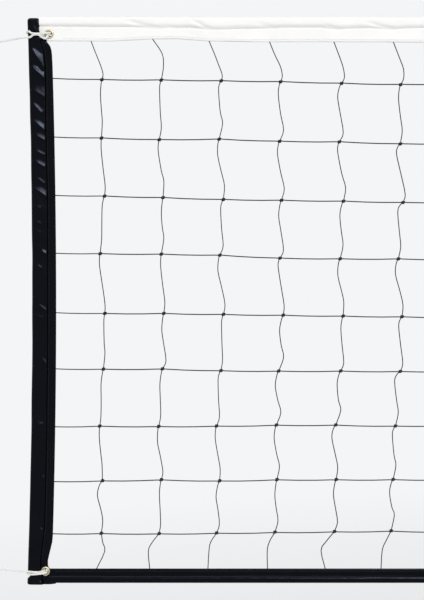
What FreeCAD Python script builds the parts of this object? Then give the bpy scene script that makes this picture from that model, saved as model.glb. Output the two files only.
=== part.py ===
"""A volleyball net: white head band, black foot band, side sleeves with rods, mesh, corner eyelets and ties.

Millimetres. +X runs along the net, -Y is its front, +Z is up. The origin is the middle of the eye at the
end of the top left tie, which is where that corner is hung.
"""
import FreeCAD, Part
import math
import os
import re

Vector = FreeCAD.Vector
Rotation = FreeCAD.Rotation

doc = FreeCAD.newDocument("volleyball_net")
sheet = doc.addObject("Spreadsheet::Sheet", "Sizes")

# Driving sizes, in millimetres and degrees.
SIZES = {
    "net_length": 9500,        # over both sleeves
    "net_height": 1000,        # over both bands
    "tie_reach": 83.6,         # from the hanging eye to the sleeve's outer edge, along the net
    "tie_rise": 49.6,          # from the hanging eye up to the head band's top edge
    "foot_tie_rise": 31,       # from the foot band's bottom edge up to the lower eye
    "vinyl": 1,                # thickness of the coated cloth
    "seat_gap": 0.3,           # room round a rope, and between a band and the sleeve under it
    "twine": 2,
    "slot": 2.4,               # room between two layers of a band, for the twine
    "head_height": 44,
    "head_fold": 17.7,         # height of the rope's channel
    "head_rope": 8,
    "foot_height": 26,
    "foot_fold": 12,
    "foot_rope": 6,
    "rope_setback": 6,         # rope end to band end
    "sleeve_width": 40,
    "sleeve_drop": 2,          # the sleeve ends this far below both bands' outer edges
    "sleeve_bow": 8.8,         # how far its middle is drawn in
    "pocket_width": 23,
    "pocket_depth": 12,
    "seam_width": 4,           # sewn strip between the pocket and the slot
    "margin_lap": 2,           # the margin starts this far inside the pocket's edge
    "band_gap": 2,             # from the pocket to the head band, and from the sleeve to the foot band
    "tongue_room": 6.6,        # from the rope's channel down to the sleeve's tongue inside the head band
    "tongue_gap": 1.2,         # from the sleeve's seam to the foot band's tongue inside it
    "mesh_gap": 0.5,           # from a tongue to the mesh
    "rod": 6,
    "rod_room": 1.5,           # from the sleeve's wall to the cap, where the bow is deepest
    "rod_end_gap": 6,
    "cap_wall": 0.6,
    "cap_length": 14,
    "cap_floor": 2,
    "eyelet_bore": 9.5,
    "eyelet_wall": 0.5,
    "eyelet_rim": 16.8,
    "eyelet_curl": 1.7,        # width of the barrel's curled end
    "washer": 0.8,
    "eyelet_fit": 0.1,
    "head_eyelet_gap": 4.9,    # from the head band's end to the eyelet's rim
    "head_eyelet_lift": 2.95,  # from the mesh's top twine up to the eyelet's barrel
    "foot_eyelet_gap": 0.2,    # from the pocket to the lower eyelet's rim
    "foot_eyelet_rise": 21.1,
    "mesh_room": 0.25,         # from the lower eyelet's barrel to the mesh's edge twine
    "mesh_tuck": 4,            # depth of the mesh's top twine inside the head band
    "foot_tuck": 5,
    "edge_column": 92.4,       # from the edge twine to the first upright
    "mesh_pitch": 105,
    "first_drop": 74.4,        # from the head band down to the first cross twine
    "last_rise": 64.8,         # from the foot band up to the last one
    "row_taper": 1.9,          # each row of the mesh is this much lower than the one above it
    "settle": 640,             # over this length from each end the cross twines sink to their level
    "cord": 4,
    "eye_offset": 26,          # from the knot's face to the middle of the eye
    "eye_buried": 2,           # length of each of the eye's ends inside the knot
    "knot": 10,
    "knot_length": 12,
    "stop_knot": 9.6,
    "thread": 0.9,
    "thread_proud": 0.4,
    "seam_inset": 4,           # from a band's edge to its outer stitch row
}

for line, (alias, value) in enumerate(SIZES.items(), start=1):
    sheet.set(f"A{line}", alias)
    sheet.set(f"B{line}", str(value))
    sheet.setAlias(f"B{line}", alias)
doc.recompute()

# How much higher each cross twine lies at the sleeves than far from them, in millimetres from the top down.
ROW_LIFT = (11, 13, 13, 13, 5, 6, -1, -4, -4)
SECTIONS = ("net_left", "net_middle", "net_right")


def bound(text):
    """An expression in the sheet's names."""
    return re.sub(r"[a-z_]+", lambda word: f"Sizes.{word[0]}" if word[0] in SIZES else word[0], text)


def size(text):
    """A size by its name, or what an expression of such names comes to."""
    return float(sheet.evalExpression(bound(text)))


def bind(item, **texts):
    """Binds properties, with __ for a dot in a property's path."""
    for name, text in texts.items():
        item.setExpression(name.replace("__", "."), bound(text))
    return item


def place(item, x="0", y="0", z="0", turn=None):
    if turn is not None:
        item.Placement = FreeCAD.Placement(Vector(), turn)
    return bind(item, Placement__Base__x=x, Placement__Base__y=y, Placement__Base__z=z)


def solid(kind, name, x="0", y="0", z="0", turn=None, **texts):
    item = doc.addObject(f"Part::{kind}", name)
    item.Label = name
    bind(item, **texts)
    return place(item, x, y, z, turn)


def cut(name, base, tool):
    item = doc.addObject("Part::Cut", name)
    item.Label = name
    item.Base = base
    item.Tool = tool
    return item


def joined(name, *items, kind="MultiFuse"):
    item = doc.addObject(f"Part::{kind}", name)
    item.Label = name
    item.Shapes = list(items)
    return item


def group(name, *items):
    item = doc.addObject("Part::Compound", name)
    item.Label = name
    item.Links = list(items)
    return item


def mirrored(name, source):
    """The same piece at the net's other end."""
    item = doc.addObject("Part::Mirroring", name)
    item.Label = name
    item.Source = source
    item.Normal = Vector(1, 0, 0)
    return bind(item, Base__x="tie_reach + net_length / 2")


def shaped(name, shape):
    item = doc.addObject("Part::Feature", name)
    item.Label = name
    item.Shape = shape
    return item


ALONG_X = Rotation(Vector(0, 1, 0), 90)
ALONG_Y = Rotation(Vector(1, 0, 0), -90)
SIDEWAYS = Rotation(Vector(1, 1, 1), 120)    # x to y, y to z, z to x

# Places that more than one piece shares. An inset is measured from the sleeve's outer edge.
TOP = "tie_rise"
FOOT = "(tie_rise - net_height)"
HALF_SLOT = "slot / 2"
HALF_BAND = "(slot / 2 + vinyl)"
HEAD_INSET = "(pocket_width + band_gap)"
FOOT_INSET = "(sleeve_width + band_gap)"
BORE_RADIUS = "(eyelet_bore / 2 + eyelet_wall + eyelet_fit)"
HEAD_EYELET = f"({HEAD_INSET} + eyelet_rim / 2 + head_eyelet_gap)"
HEAD_EYELET_Z = f"{TOP} - head_height + mesh_tuck + twine / 2 + head_eyelet_lift + {BORE_RADIUS}"
FOOT_EYELET = "(pocket_width + eyelet_rim / 2 + foot_eyelet_gap)"
FOOT_EYELET_Z = f"{FOOT} + foot_eyelet_rise"
MESH_INSET = f"({FOOT_EYELET} + {BORE_RADIUS} + mesh_room + twine / 2)"
nodes = {}


# Bands. Each is a folded strip: a round channel for the rope, drawn in to two flat layers.
CHEEK = 0.96    # share of the channel's radius at which the cloth leaves it


def keyhole(name, start, run, edge, up, radius, fold, height, half):
    """A solid of a band's outline. up is 1 where the rope lies at the bottom edge, -1 at the top."""
    channel = solid("Cylinder", name + "_channel", x=start, z=f"{edge} + {up} * {radius}", turn=ALONG_X,
                    Radius=radius, Height=run)
    taper = solid("Wedge", name + "_taper", x=start, z=edge, turn=SIDEWAYS, Zmin="0", Zmax=run,
                  Z2min="0", Z2max=run)
    wide = f"{CHEEK} * {radius}"
    if up > 0:
        bind(taper, Ymin=radius, Ymax=fold, Xmin=f"-{wide}", Xmax=wide, X2min=f"-{half}", X2max=half)
    else:
        bind(taper, Ymin=f"-{fold}", Ymax=f"-{radius}", Xmin=f"-{half}", Xmax=half, X2min=f"-{wide}",
             X2max=wide)
    low = f"{edge} + {radius}" if up > 0 else f"{edge} - {height}"
    flat = solid("Box", name + "_flat", x=start, y=f"-{half}", z=low, Length=run, Width=f"2 * {half}",
                 Height=f"{height} - {radius}")
    return joined(name, channel, taper, flat)


def bore(name, x, z, radius=BORE_RADIUS):
    """A hole through every layer at an eyelet."""
    return solid("Cylinder", name, x=x, y="-pocket_depth", z=z, turn=ALONG_Y, Radius=radius,
                 Height="2 * pocket_depth")


def at_left(inset):
    return f"tie_reach + {inset}"


def at_right(inset):
    return f"tie_reach + net_length - {inset}"


head_start = at_left(HEAD_INSET)
head_run = f"(net_length - 2 * {HEAD_INSET})"
head_outer = keyhole("head_outer", head_start, head_run, TOP, -1,
                     "(head_rope / 2 + seat_gap + vinyl)", "head_fold", "head_height", HALF_BAND)
head_inner = keyhole("head_inner", head_start, head_run, f"{TOP} - vinyl", -1,
                     "(head_rope / 2 + seat_gap)", "(head_fold - vinyl)", "head_height", HALF_SLOT)
head_bores = joined("head_bores", bore("head_bore_left", at_left(HEAD_EYELET), HEAD_EYELET_Z),
                    bore("head_bore_right", at_right(HEAD_EYELET), HEAD_EYELET_Z))
nodes["top_band"] = cut("top_band", head_outer, joined("head_hollows", head_inner, head_bores))
nodes["head_rope"] = solid("Cylinder", "head_rope", x=at_left(f"{HEAD_INSET} + rope_setback"),
                           z=f"{TOP} - vinyl - seat_gap - head_rope / 2", turn=ALONG_X,
                           Radius="head_rope / 2", Height=f"{head_run} - 2 * rope_setback")

foot_start = at_left(FOOT_INSET)
foot_run = f"(net_length - 2 * {FOOT_INSET})"
foot_tongue_inset = "(pocket_width + seam_width + tongue_gap)"
foot_tongue_height = "(foot_height - foot_tuck - twine / 2 - mesh_gap - seam_inset)"
foot_outer = keyhole("foot_outer", foot_start, foot_run, FOOT, 1,
                     "(foot_rope / 2 + seat_gap + vinyl)", "foot_fold", "foot_height", HALF_BAND)
foot_inner = keyhole("foot_inner", foot_start, foot_run, f"({FOOT} + vinyl)", 1,
                     "(foot_rope / 2 + seat_gap)", "(foot_fold - vinyl)", "foot_height", HALF_SLOT)
foot_strip = cut("foot_strip", foot_outer, foot_inner)
foot_tongue = solid("Box", "foot_tongue_plate", x=at_left(foot_tongue_inset), y=f"-{HALF_SLOT}",
                    z=f"{FOOT} + seam_inset", Length=f"net_length - 2 * {foot_tongue_inset}", Width="slot",
                    Height=foot_tongue_height)
foot_middle = solid("Box", "foot_middle_room", x=at_left(f"({FOOT_INSET} + vinyl)"), y=f"-{HALF_SLOT}",
                    z=f"{FOOT} + seam_inset", Length=f"net_length - 2 * ({FOOT_INSET} + vinyl)",
                    Width="slot", Height=foot_tongue_height)
foot_tongues = cut("foot_tongues", foot_tongue, foot_middle)
foot_bores = joined("foot_bores", bore("foot_bore_left", at_left(FOOT_EYELET), FOOT_EYELET_Z),
                    bore("foot_bore_right", at_right(FOOT_EYELET), FOOT_EYELET_Z))
nodes["bottom_band"] = cut("bottom_band", joined("foot_whole", foot_strip, foot_tongues), foot_bores)
nodes["foot_rope"] = solid("Cylinder", "foot_rope", x=at_left(f"{FOOT_INSET} + rope_setback"),
                           z=f"{FOOT} + vinyl + seat_gap + foot_rope / 2", turn=ALONG_X,
                           Radius="foot_rope / 2", Height=f"{foot_run} - 2 * rope_setback")


# Side sleeve: its sections turned about a far axis, so that its middle is drawn in by the bow.
BOW_RADIUS = "((net_height / 2) ^ 2 / (2 * sleeve_bow) + sleeve_bow / 2)"
MIDDLE_Z = "tie_rise - sleeve_drop - net_height / 2"
OVERRUN = 30    # each end is swept this much too long, then trimmed level


def swept(name, section):
    item = doc.addObject("Part::Revolution", name)
    item.Label = name
    item.Source = section
    item.Axis = Vector(0, 1, 0)
    item.Solid = True
    item.Symmetric = True
    return bind(item, Base__x=f"tie_reach + sleeve_bow - {BOW_RADIUS}", Base__z=MIDDLE_Z,
                Angle=f"2 * asin((net_height / 2 + {OVERRUN}) / {BOW_RADIUS})")


def pocket(name, inside):
    section = solid("Ellipse", name + "_section", x="tie_reach + sleeve_bow + pocket_width / 2", z=MIDDLE_Z,
                    MajorRadius=f"pocket_width / 2 - {inside}", MinorRadius=f"pocket_depth / 2 - {inside}")
    return swept(name, section)


def strip(name, start, end, half):
    section = solid("Plane", name + "_section", x=f"tie_reach + sleeve_bow + {start}", y=f"-{half}",
                    z=MIDDLE_Z, Length=f"{end} - {start}", Width=f"2 * {half}")
    return swept(name, section)


def trimmed(name, item, low, high):
    box = solid("Box", name + "_limits", x="tie_reach - pocket_width", y="-pocket_depth", z=low,
                Length="3 * sleeve_width", Width="2 * pocket_depth", Height=f"{high} - ({low})")
    return joined(name, item, box, kind="MultiCommon")


sleeve_low = f"{FOOT} - sleeve_drop"
sleeve_top = "tie_rise - sleeve_drop"
margin_top = "tie_rise - head_height - seat_gap"
pocket_skin = trimmed("pocket_skin", pocket("pocket_outside", "0"), sleeve_low, sleeve_top)
margin = trimmed("margin", strip("margin_strip", "(pocket_width - margin_lap)", "sleeve_width", HALF_BAND),
                 sleeve_low, margin_top)
tongue = solid("Box", "sleeve_tongue", x=at_left("pocket_width - margin_lap"), y=f"-{HALF_SLOT}",
               z=f"{margin_top} - vinyl",
               Length=f"{MESH_INSET} - twine / 2 - mesh_gap - pocket_width + margin_lap", Width="slot",
               Height="head_height - head_fold - tongue_room + seat_gap + vinyl")
pocket_room = trimmed("pocket_room", pocket("pocket_inside", "vinyl"), f"{sleeve_low} - vinyl",
                      f"{sleeve_top} - vinyl")
mesh_slot = trimmed("mesh_slot", strip("slot_strip", "(pocket_width + seam_width)", "(sleeve_width + vinyl)",
                                       HALF_SLOT), f"{sleeve_low} - vinyl", f"{margin_top} + seat_gap")
sleeve_bores = joined("sleeve_bores", bore("sleeve_bore_head", at_left(HEAD_EYELET), HEAD_EYELET_Z),
                      bore("sleeve_bore_foot", at_left(FOOT_EYELET), FOOT_EYELET_Z))
sleeve_solid = joined("sleeve_solid", pocket_skin, margin, tongue)
sleeve_hollows = joined("sleeve_hollows", pocket_room, mesh_slot, sleeve_bores)
nodes["side_sleeve_left"] = cut("side_sleeve_left", sleeve_solid, sleeve_hollows)


# Side rod, straight, with a cap pushed on each end.
rod_low = f"{sleeve_low} + rod_end_gap"
rod_high = f"{sleeve_top} - vinyl - rod_end_gap"
rod_x = at_left("sleeve_bow + vinyl + rod_room + cap_wall + rod / 2")
nodes["side_rod_left"] = solid("Cylinder", "side_rod_left", x=rod_x, z=f"{rod_low} + cap_floor",
                               Radius="rod / 2", Height=f"{rod_high} - ({rod_low}) - 2 * cap_floor")


def cap(name, low, socket_low):
    shell = solid("Cylinder", name + "_shell", x=rod_x, z=low, Radius="rod / 2 + cap_wall",
                  Height="cap_length")
    socket = solid("Cylinder", name + "_socket", x=rod_x, z=socket_low, Radius="rod / 2",
                   Height="cap_length - cap_floor")
    return cut(name, shell, socket)


nodes["rod_caps_left"] = group("rod_caps_left",
                               cap("lower_cap", rod_low, f"{rod_low} + cap_floor"),
                               cap("upper_cap", f"{rod_high} - cap_length", f"{rod_high} - cap_length"))


# Corner eyelets: a domed rim in front, a barrel through the layers and a curled end over the washer.
def ring_of(name, x, y, z, inner, outer):
    return solid("Torus", name, x=x, y=y, z=z, turn=ALONG_Y, Radius1=f"({inner} + {outer}) / 2",
                 Radius2=f"({outer} - {inner}) / 2")


def eyelet(corner, x, z):
    hole = "eyelet_bore / 2"
    front = f"-{HALF_BAND}"
    back = f"({HALF_BAND} + washer)"
    bead = ring_of(f"bead_{corner}", x, front, z, hole, "eyelet_rim / 2")
    front_room = solid("Box", f"front_{corner}", x=f"{x} - eyelet_rim", y=f"{front} - eyelet_rim",
                       z=f"{z} - eyelet_rim", Length="2 * eyelet_rim", Width="eyelet_rim",
                       Height="2 * eyelet_rim")
    rim = joined(f"rim_{corner}", bead, front_room, kind="MultiCommon")
    curl_bead = ring_of(f"curl_bead_{corner}", x, back, z, hole, "(eyelet_bore / 2 + eyelet_curl)")
    back_room = solid("Box", f"back_{corner}", x=f"{x} - eyelet_rim", y=back, z=f"{z} - eyelet_rim",
                      Length="2 * eyelet_rim", Width="eyelet_rim", Height="2 * eyelet_rim")
    curl = joined(f"curl_{corner}", curl_bead, back_room, kind="MultiCommon")
    tube = solid("Cylinder", f"tube_{corner}", x=x, y=front, z=z, turn=ALONG_Y,
                 Radius=f"{hole} + eyelet_wall", Height=f"2 * {HALF_BAND} + washer")
    clear = bore(f"clear_{corner}", x, z, radius=hole)
    barrel = cut(f"barrel_{corner}", tube, clear)
    disc = solid("Cylinder", f"disc_{corner}", x=x, y=HALF_BAND, z=z, turn=ALONG_Y, Radius="eyelet_rim / 2",
                 Height="washer")
    opening = bore(f"opening_{corner}", x, z)
    nodes[f"eyelet_{corner}"] = joined(f"eyelet_{corner}", rim, barrel, curl)
    nodes[f"washer_{corner}"] = cut(f"washer_{corner}", disc, opening)


eyelet("top_left", at_left(HEAD_EYELET), HEAD_EYELET_Z)
eyelet("bottom_left", at_left(FOOT_EYELET), FOOT_EYELET_Z)


# Stitch rows, a strip of thread on each face.
def stitch_row(name, start, run, z):
    low_face = solid("Box", name + "_front", x=start, y=f"-{HALF_BAND} - thread_proud", z=z, Length=run,
                     Width="thread_proud", Height="thread")
    high_face = solid("Box", name + "_back", x=start, y=HALF_BAND, z=z, Length=run, Width="thread_proud",
                      Height="thread")
    return low_face, high_face


row_start = at_left(f"{HEAD_EYELET} + eyelet_rim")
row_run = f"net_length - 2 * ({HEAD_EYELET} + eyelet_rim)"
head_rows = [*stitch_row("head_row_high", row_start, row_run, f"{TOP} - head_fold - thread"),
             *stitch_row("head_row_low", row_start, row_run, f"{TOP} - head_height + seam_inset")]
nodes["top_band_stitching"] = group("top_band_stitching", *head_rows)
foot_rows = stitch_row("foot_row", foot_start, foot_run, f"{FOOT} + foot_height - seam_inset")
nodes["bottom_band_stitching"] = group("bottom_band_stitching", *foot_rows)


def sleeve_row(name, y):
    section = solid("Plane", name + "_section", x=at_left("sleeve_bow + pocket_width + seam_width / 2"), y=y,
                    z=MIDDLE_Z, Length="thread", Width="thread_proud")
    return trimmed(name, swept(name + "_strip", section),
                   f"{FOOT_EYELET_Z} + eyelet_rim", f"{margin_top} - vinyl")


nodes["sleeve_stitching_left"] = group("sleeve_stitching_left",
                                       sleeve_row("sleeve_row_front", f"-{HALF_BAND} - thread_proud"),
                                       sleeve_row("sleeve_row_back", HALF_BAND))
doc.recompute()


# Netting: each section is one face with its gaps cut out, as thick as the twine.
def levels(from_end):
    """Heights of the mesh's cross twines, edge twines included, at a distance from the nearer end."""
    rise = max(0, 1 - from_end / size("settle"))
    depth = size("head_height + first_drop")
    steps = len(ROW_LIFT) - 1
    mean_step = (size("net_height - foot_height - last_rise") - depth) / steps
    depths = [size("head_height - mesh_tuck")]
    for row, lift in enumerate(ROW_LIFT):
        depths.append(depth - lift * rise)
        depth += mean_step + size("row_taper") * ((steps - 1) / 2 - row)
    depths.append(size("net_height - foot_height + foot_tuck"))
    return [size(TOP) - depth for depth in depths]


def uprights():
    """Where the mesh's upright twines stand, edge twines included."""
    first = size(at_left(MESH_INSET))
    last = size(at_right(MESH_INSET))
    edge = size("edge_column")
    inner = round((last - first - 2 * edge) / size("mesh_pitch"))
    step = (last - first - 2 * edge) / inner
    return [first] + [first + edge + step * i for i in range(inner + 1)] + [last]


def closed(points):
    return Part.makePolygon([Vector(*point) for point in [*points, points[0]]])


def net_section(stands):
    """stands are the section's uprights; its outer ones are cut along their middle where they are shared."""
    half = size("twine / 2")
    ends = (size(at_left("0")), size(at_right("0")))
    gaps = []
    for left, right in zip(stands, stands[1:]):
        left_levels = levels(min(left - ends[0], ends[1] - left))
        right_levels = levels(min(right - ends[0], ends[1] - right))
        for row in range(len(left_levels) - 1):
            gaps.append(closed([(left + half, -half, left_levels[row + 1] + half),
                                (right - half, -half, right_levels[row + 1] + half),
                                (right - half, -half, right_levels[row] - half),
                                (left + half, -half, left_levels[row] - half)]))
    whole = uprights()
    low_x = stands[0] - (half if stands[0] == whole[0] else 0)
    high_x = stands[-1] + (half if stands[-1] == whole[-1] else 0)
    rows = levels(size("settle"))
    outline = closed([(low_x, -half, rows[-1] - half), (high_x, -half, rows[-1] - half),
                      (high_x, -half, rows[0] + half), (low_x, -half, rows[0] + half)])
    face = Part.makeFace([outline, *gaps], "Part::FaceMakerBullseye")
    print(f"net section with {len(gaps)} gaps")
    return face.extrude(Vector(0, size("twine"), 0))


stands = uprights()
share = math.ceil((len(stands) - 1) / len(SECTIONS))
for number, name in enumerate(SECTIONS):
    nodes[name] = shaped(name, net_section(stands[number * share:(number + 1) * share + 1]))


# Tie cords. Each runs from its knotted eye across the sleeve, through the eyelet, back round the sleeve's
# outer edge and through the eyelet again, to a stop knot behind it. Points are measured from the net's
# corner: the sleeve's outer edge and the band's outer edge.
HEAD_ROUTE = [
    (-31, -3.2, -41.0), (-5, -7.8, -36.3), (12, -9.5, -31.9), (23, -8.4, -32.9), (31, -7.4, -37.0),
    (36.7, -6.8, -32.3), (36.7, 6.9, -32.3), (26, 8.0, -30.2), (14, 9.2, -28.3), (4, 8.7, -26.9),
    (-1.9, 4.2, -25.9), (-1.9, -4.2, -25.4), (4, -8.7, -25.6), (14, -9.2, -26.8), (25, -8.4, -27.2),
    (39.9, -7.6, -28.3), (39.9, 6.6, -29.2), (47, 7.4, -25.5),
]
FOOT_ROUTE = [
    (-31, -3.2, 23.0), (-6, -7.6, 19.7), (12, -9.4, 20.9), (20, -8.4, 23.1), (30.0, -6.8, 22.7),
    (30.0, 6.9, 22.7), (21, 8.3, 21.0), (13, 9.3, 19.4), (4, 8.7, 17.8), (-1.9, 4.2, 16.7),
    (-1.9, -4.2, 16.1), (4, -8.7, 15.9), (13, -9.3, 16.2), (22, -8.4, 16.9), (33.2, -7.6, 18.8),
    (33.2, 6.6, 19.5), (40.5, 7.4, 15.6),
]


# The eye's corners, measured from its middle along the tie and across it.
EYE_CORNERS = [(7, 10.5), (-12, 9.5), (-12, -9.5), (7, -10.5)]
EYE_LEG = 0.55          # how far each leg leaves the knot from its middle, in cord diameters
KNOT_ROUNDING = 0.35    # in knot diameters
STOP_KNOT_FLAT = 0.8    # distance of the stop knot's flat from its middle, in its radii
ARC_SHARE = 0.45        # how much of its shorter run an arc takes up


def smooth_path(points):
    """Straight runs joined by tangent arcs, each as large as its runs allow."""
    edges = []
    radii = []
    start = points[0]
    for before, corner, after in zip(points, points[1:], points[2:]):
        back = (before - corner).normalize()
        on = (after - corner).normalize()
        half_turn = (math.pi - back.getAngle(on)) / 2
        reach = ARC_SHARE * min((before - corner).Length, (after - corner).Length)
        radius = reach / math.tan(half_turn)
        inward = (back + on).normalize()
        middle = corner + inward * (radius / math.cos(half_turn) - radius)
        edges.append(Part.LineSegment(start, corner + back * reach).toShape())
        edges.append(Part.Arc(corner + back * reach, middle, corner + on * reach).toShape())
        radii.append(radius)
        start = corner + on * reach
    edges.append(Part.LineSegment(start, points[-1]).toShape())
    return Part.Wire(edges), radii


def tube(name, points, diameter):
    path, radii = smooth_path(points)
    along = (points[1] - points[0]).normalize()
    section = Part.Wire(Part.makeCircle(diameter / 2, points[0], along))
    shape = path.makePipeShell([section], True, False)
    ratio = shape.Volume / (math.pi * diameter ** 2 / 4 * path.Length)
    print(f"{name}: {path.Length:.1f} mm, volume {ratio:.4f} of its section's, radii",
          " ".join(f"{radius:.1f}" for radius in radii))
    return shape


def eye_and_knot(middle, on):
    """The tie's knot and the eye beyond it. on points from the eye's middle to the knot."""
    up = Vector(-on.z, 0, on.x).normalize()
    face = middle + on * size("eye_offset")
    knot = Part.makeCylinder(size("knot") / 2, size("knot_length"), face, -on)
    rims = [edge for edge in knot.Edges if len(edge.Vertexes) == 1]
    knot = knot.makeFillet(KNOT_ROUNDING * size("knot"), rims)
    base = size("eye_offset - knot_length + eye_buried")
    half = EYE_LEG * size("cord")
    outline = [(base, half), *EYE_CORNERS, (base, -half)]
    points = [middle + on * along + up * across for along, across in outline]
    return knot.fuse(tube("eye", points, size("cord")))


def stop_knot(end, on):
    """A round knot with a flat where the cord's end meets it."""
    radius = size("stop_knot / 2")
    middle = end + on * (STOP_KNOT_FLAT * radius)
    ball = Part.makeSphere(radius, middle)
    room = Part.makeCylinder(2 * radius, 2 * radius, end, -on)
    return ball.cut(room)


def tie(corner, middle, corner_z, route):
    """middle is the eye's middle, and corner_z the height that the route is measured from."""
    base = Vector(size(at_left("0")), 0, corner_z)
    points = [base + Vector(*point) for point in route]
    on = (points[0] - middle).normalize()
    points.insert(0, middle + on * size("eye_offset"))
    last = (points[-1] - points[-2]).normalize()
    nodes[f"tie_cord_{corner}"] = shaped(f"tie_cord_{corner}", tube(corner, points, size("cord")))
    nodes[f"tie_eye_{corner}"] = shaped(f"tie_eye_{corner}", eye_and_knot(middle, on))
    nodes[f"stop_knot_{corner}"] = shaped(f"stop_knot_{corner}", stop_knot(points[-1], last))


tie("top_left", Vector(), size(TOP), HEAD_ROUTE)
tie("bottom_left", Vector(0, 0, size(f"{FOOT} + foot_tie_rise")), size(FOOT), FOOT_ROUTE)

# The right end mirrors the left one.
for name in [name for name in nodes if name.endswith("_left") and name != "net_left"]:
    twin = name.replace("_left", "_right")
    nodes[twin] = mirrored(twin, nodes[name])

doc.recompute()
for item in doc.Objects:
    if {"Invalid", "Error"} & set(item.State):
        raise RuntimeError(f"{item.Label} failed: {item.State}")

os.makedirs("parts", exist_ok=True)
for name, item in nodes.items():
    shape = item.Shape
    if shape.isNull() or not shape.isValid() or not shape.Solids:
        raise RuntimeError(f"{name} isn't a valid solid")
    shape.exportStep(f"parts/{name}.step")
print(f"{len(nodes)} pieces")
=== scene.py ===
import math
import bmesh
import bpy
import numpy as np
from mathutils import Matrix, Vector, noise


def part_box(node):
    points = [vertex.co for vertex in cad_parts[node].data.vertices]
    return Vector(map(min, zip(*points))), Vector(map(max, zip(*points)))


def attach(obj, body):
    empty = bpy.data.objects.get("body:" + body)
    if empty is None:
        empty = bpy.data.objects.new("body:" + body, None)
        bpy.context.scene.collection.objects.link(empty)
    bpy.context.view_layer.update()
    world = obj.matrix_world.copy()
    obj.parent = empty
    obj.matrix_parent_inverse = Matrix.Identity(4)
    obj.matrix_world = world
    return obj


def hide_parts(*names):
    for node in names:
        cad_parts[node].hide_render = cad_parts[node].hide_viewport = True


# A volleyball net: white head band, black foot band and side sleeves, knotted twine, brass eyelets and tie
# cords. +X along the net, -Y its front, +Z up. Sizes in the dictionaries are millimetres, unless a note says
# metres.
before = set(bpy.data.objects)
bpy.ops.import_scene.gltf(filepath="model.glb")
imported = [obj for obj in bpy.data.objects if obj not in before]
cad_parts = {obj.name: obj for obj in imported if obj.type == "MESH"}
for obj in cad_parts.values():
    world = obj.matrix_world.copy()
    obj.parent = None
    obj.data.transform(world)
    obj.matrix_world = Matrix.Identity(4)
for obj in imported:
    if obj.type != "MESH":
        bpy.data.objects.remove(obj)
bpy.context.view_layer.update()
mm = 0.001
rng = np.random.default_rng(20)

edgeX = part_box("side_sleeve_left")[0].x  # the net's left edge
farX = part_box("side_sleeve_right")[1].x  # and its right one
mirrorX = (edgeX + farX) / 2
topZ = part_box("top_band")[1].z  # the head band's top edge
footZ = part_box("bottom_band")[0].z  # the foot band's bottom edge
print("frame loaded")


def linked(name, data):
    holder = bpy.data.objects.new(name, data)
    bpy.context.scene.collection.objects.link(holder)
    return holder


# Camera. The photograph is level and shows the net's left end.
camera = {
    "lens": 85,
    "sensor": 36,
    "clipEnd": 500,  # metres
    "pixel": 1.767,  # what one pixel of the photograph spans
    "imageWidth": 424,
    "imageHeight": 600,
    "edgePixel": 27.6,  # where the net's left edge lies
    "topPixel": 17,  # where its top edge lies
}


def makeCamera():
    data = bpy.data.cameras.new("camera")
    data.lens = camera["lens"]
    data.sensor_width = camera["sensor"]
    data.clip_end = camera["clipEnd"]
    pixel = camera["pixel"] * mm
    distance = camera["imageHeight"] * pixel * camera["lens"] / camera["sensor"]
    toRight = (camera["imageWidth"] / 2 - camera["edgePixel"]) * pixel
    down = (camera["imageHeight"] / 2 - camera["topPixel"]) * pixel
    holder = linked("camera", data)
    holder.location = (edgeX + toRight, -distance, topZ - down)
    holder.rotation_euler = (math.radians(90), 0, 0)
    bpy.context.scene.camera = holder


makeCamera()
bpy.context.scene.view_settings.view_transform = "Standard"
print("camera placed")


# Mesh making. A grid has a ring of points in each row, and a texture place for each point and for the
# first one again.
def smoothstep(low, high, value):
    share = np.clip((value - low) / (high - low), 0, 1)
    return share * share * (3 - 2 * share)


def readOff(table, place):
    # the value at a place between the places of a table
    return np.interp(place, *np.array(table).T)


def noiseAt(*spots):
    spots = np.broadcast_arrays(*spots)
    flat = [noise.noise(Vector(spot)) for spot in np.stack([s.ravel() for s in spots], axis=1)]
    return np.array(flat).reshape(spots[0].shape)


def waveAt(place, height, quick, *start):
    return height * noiseAt(place * quick, *start)


def flipped(points):
    mirrored = points.copy()
    mirrored[..., 0] = 2 * mirrorX - mirrored[..., 0]
    return mirrored


def cellsOf(table):
    # the four corners of each cell between the rows and columns of a table
    return np.stack([table[:-1, :-1], table[:-1, 1:], table[1:, 1:], table[1:, :-1]], axis=2)


def finishCloth(mesh, holes):
    # turns the faces outward, cuts round holes through both layers and keeps the strip's edges sharp
    work = bmesh.new()
    work.from_mesh(mesh)
    bmesh.ops.recalc_face_normals(work, faces=work.faces)
    for x, z, radius in holes:
        middles = [(face, face.calc_center_median()) for face in work.faces]
        inHole = [face for face, spot in middles if (spot.x - x) ** 2 + (spot.z - z) ** 2 < radius ** 2]
        bmesh.ops.delete(work, geom=inHole, context="FACES")
    work.to_mesh(mesh)
    work.free()
    mesh.set_sharp_from_angle(angle=math.radians(55))


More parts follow.
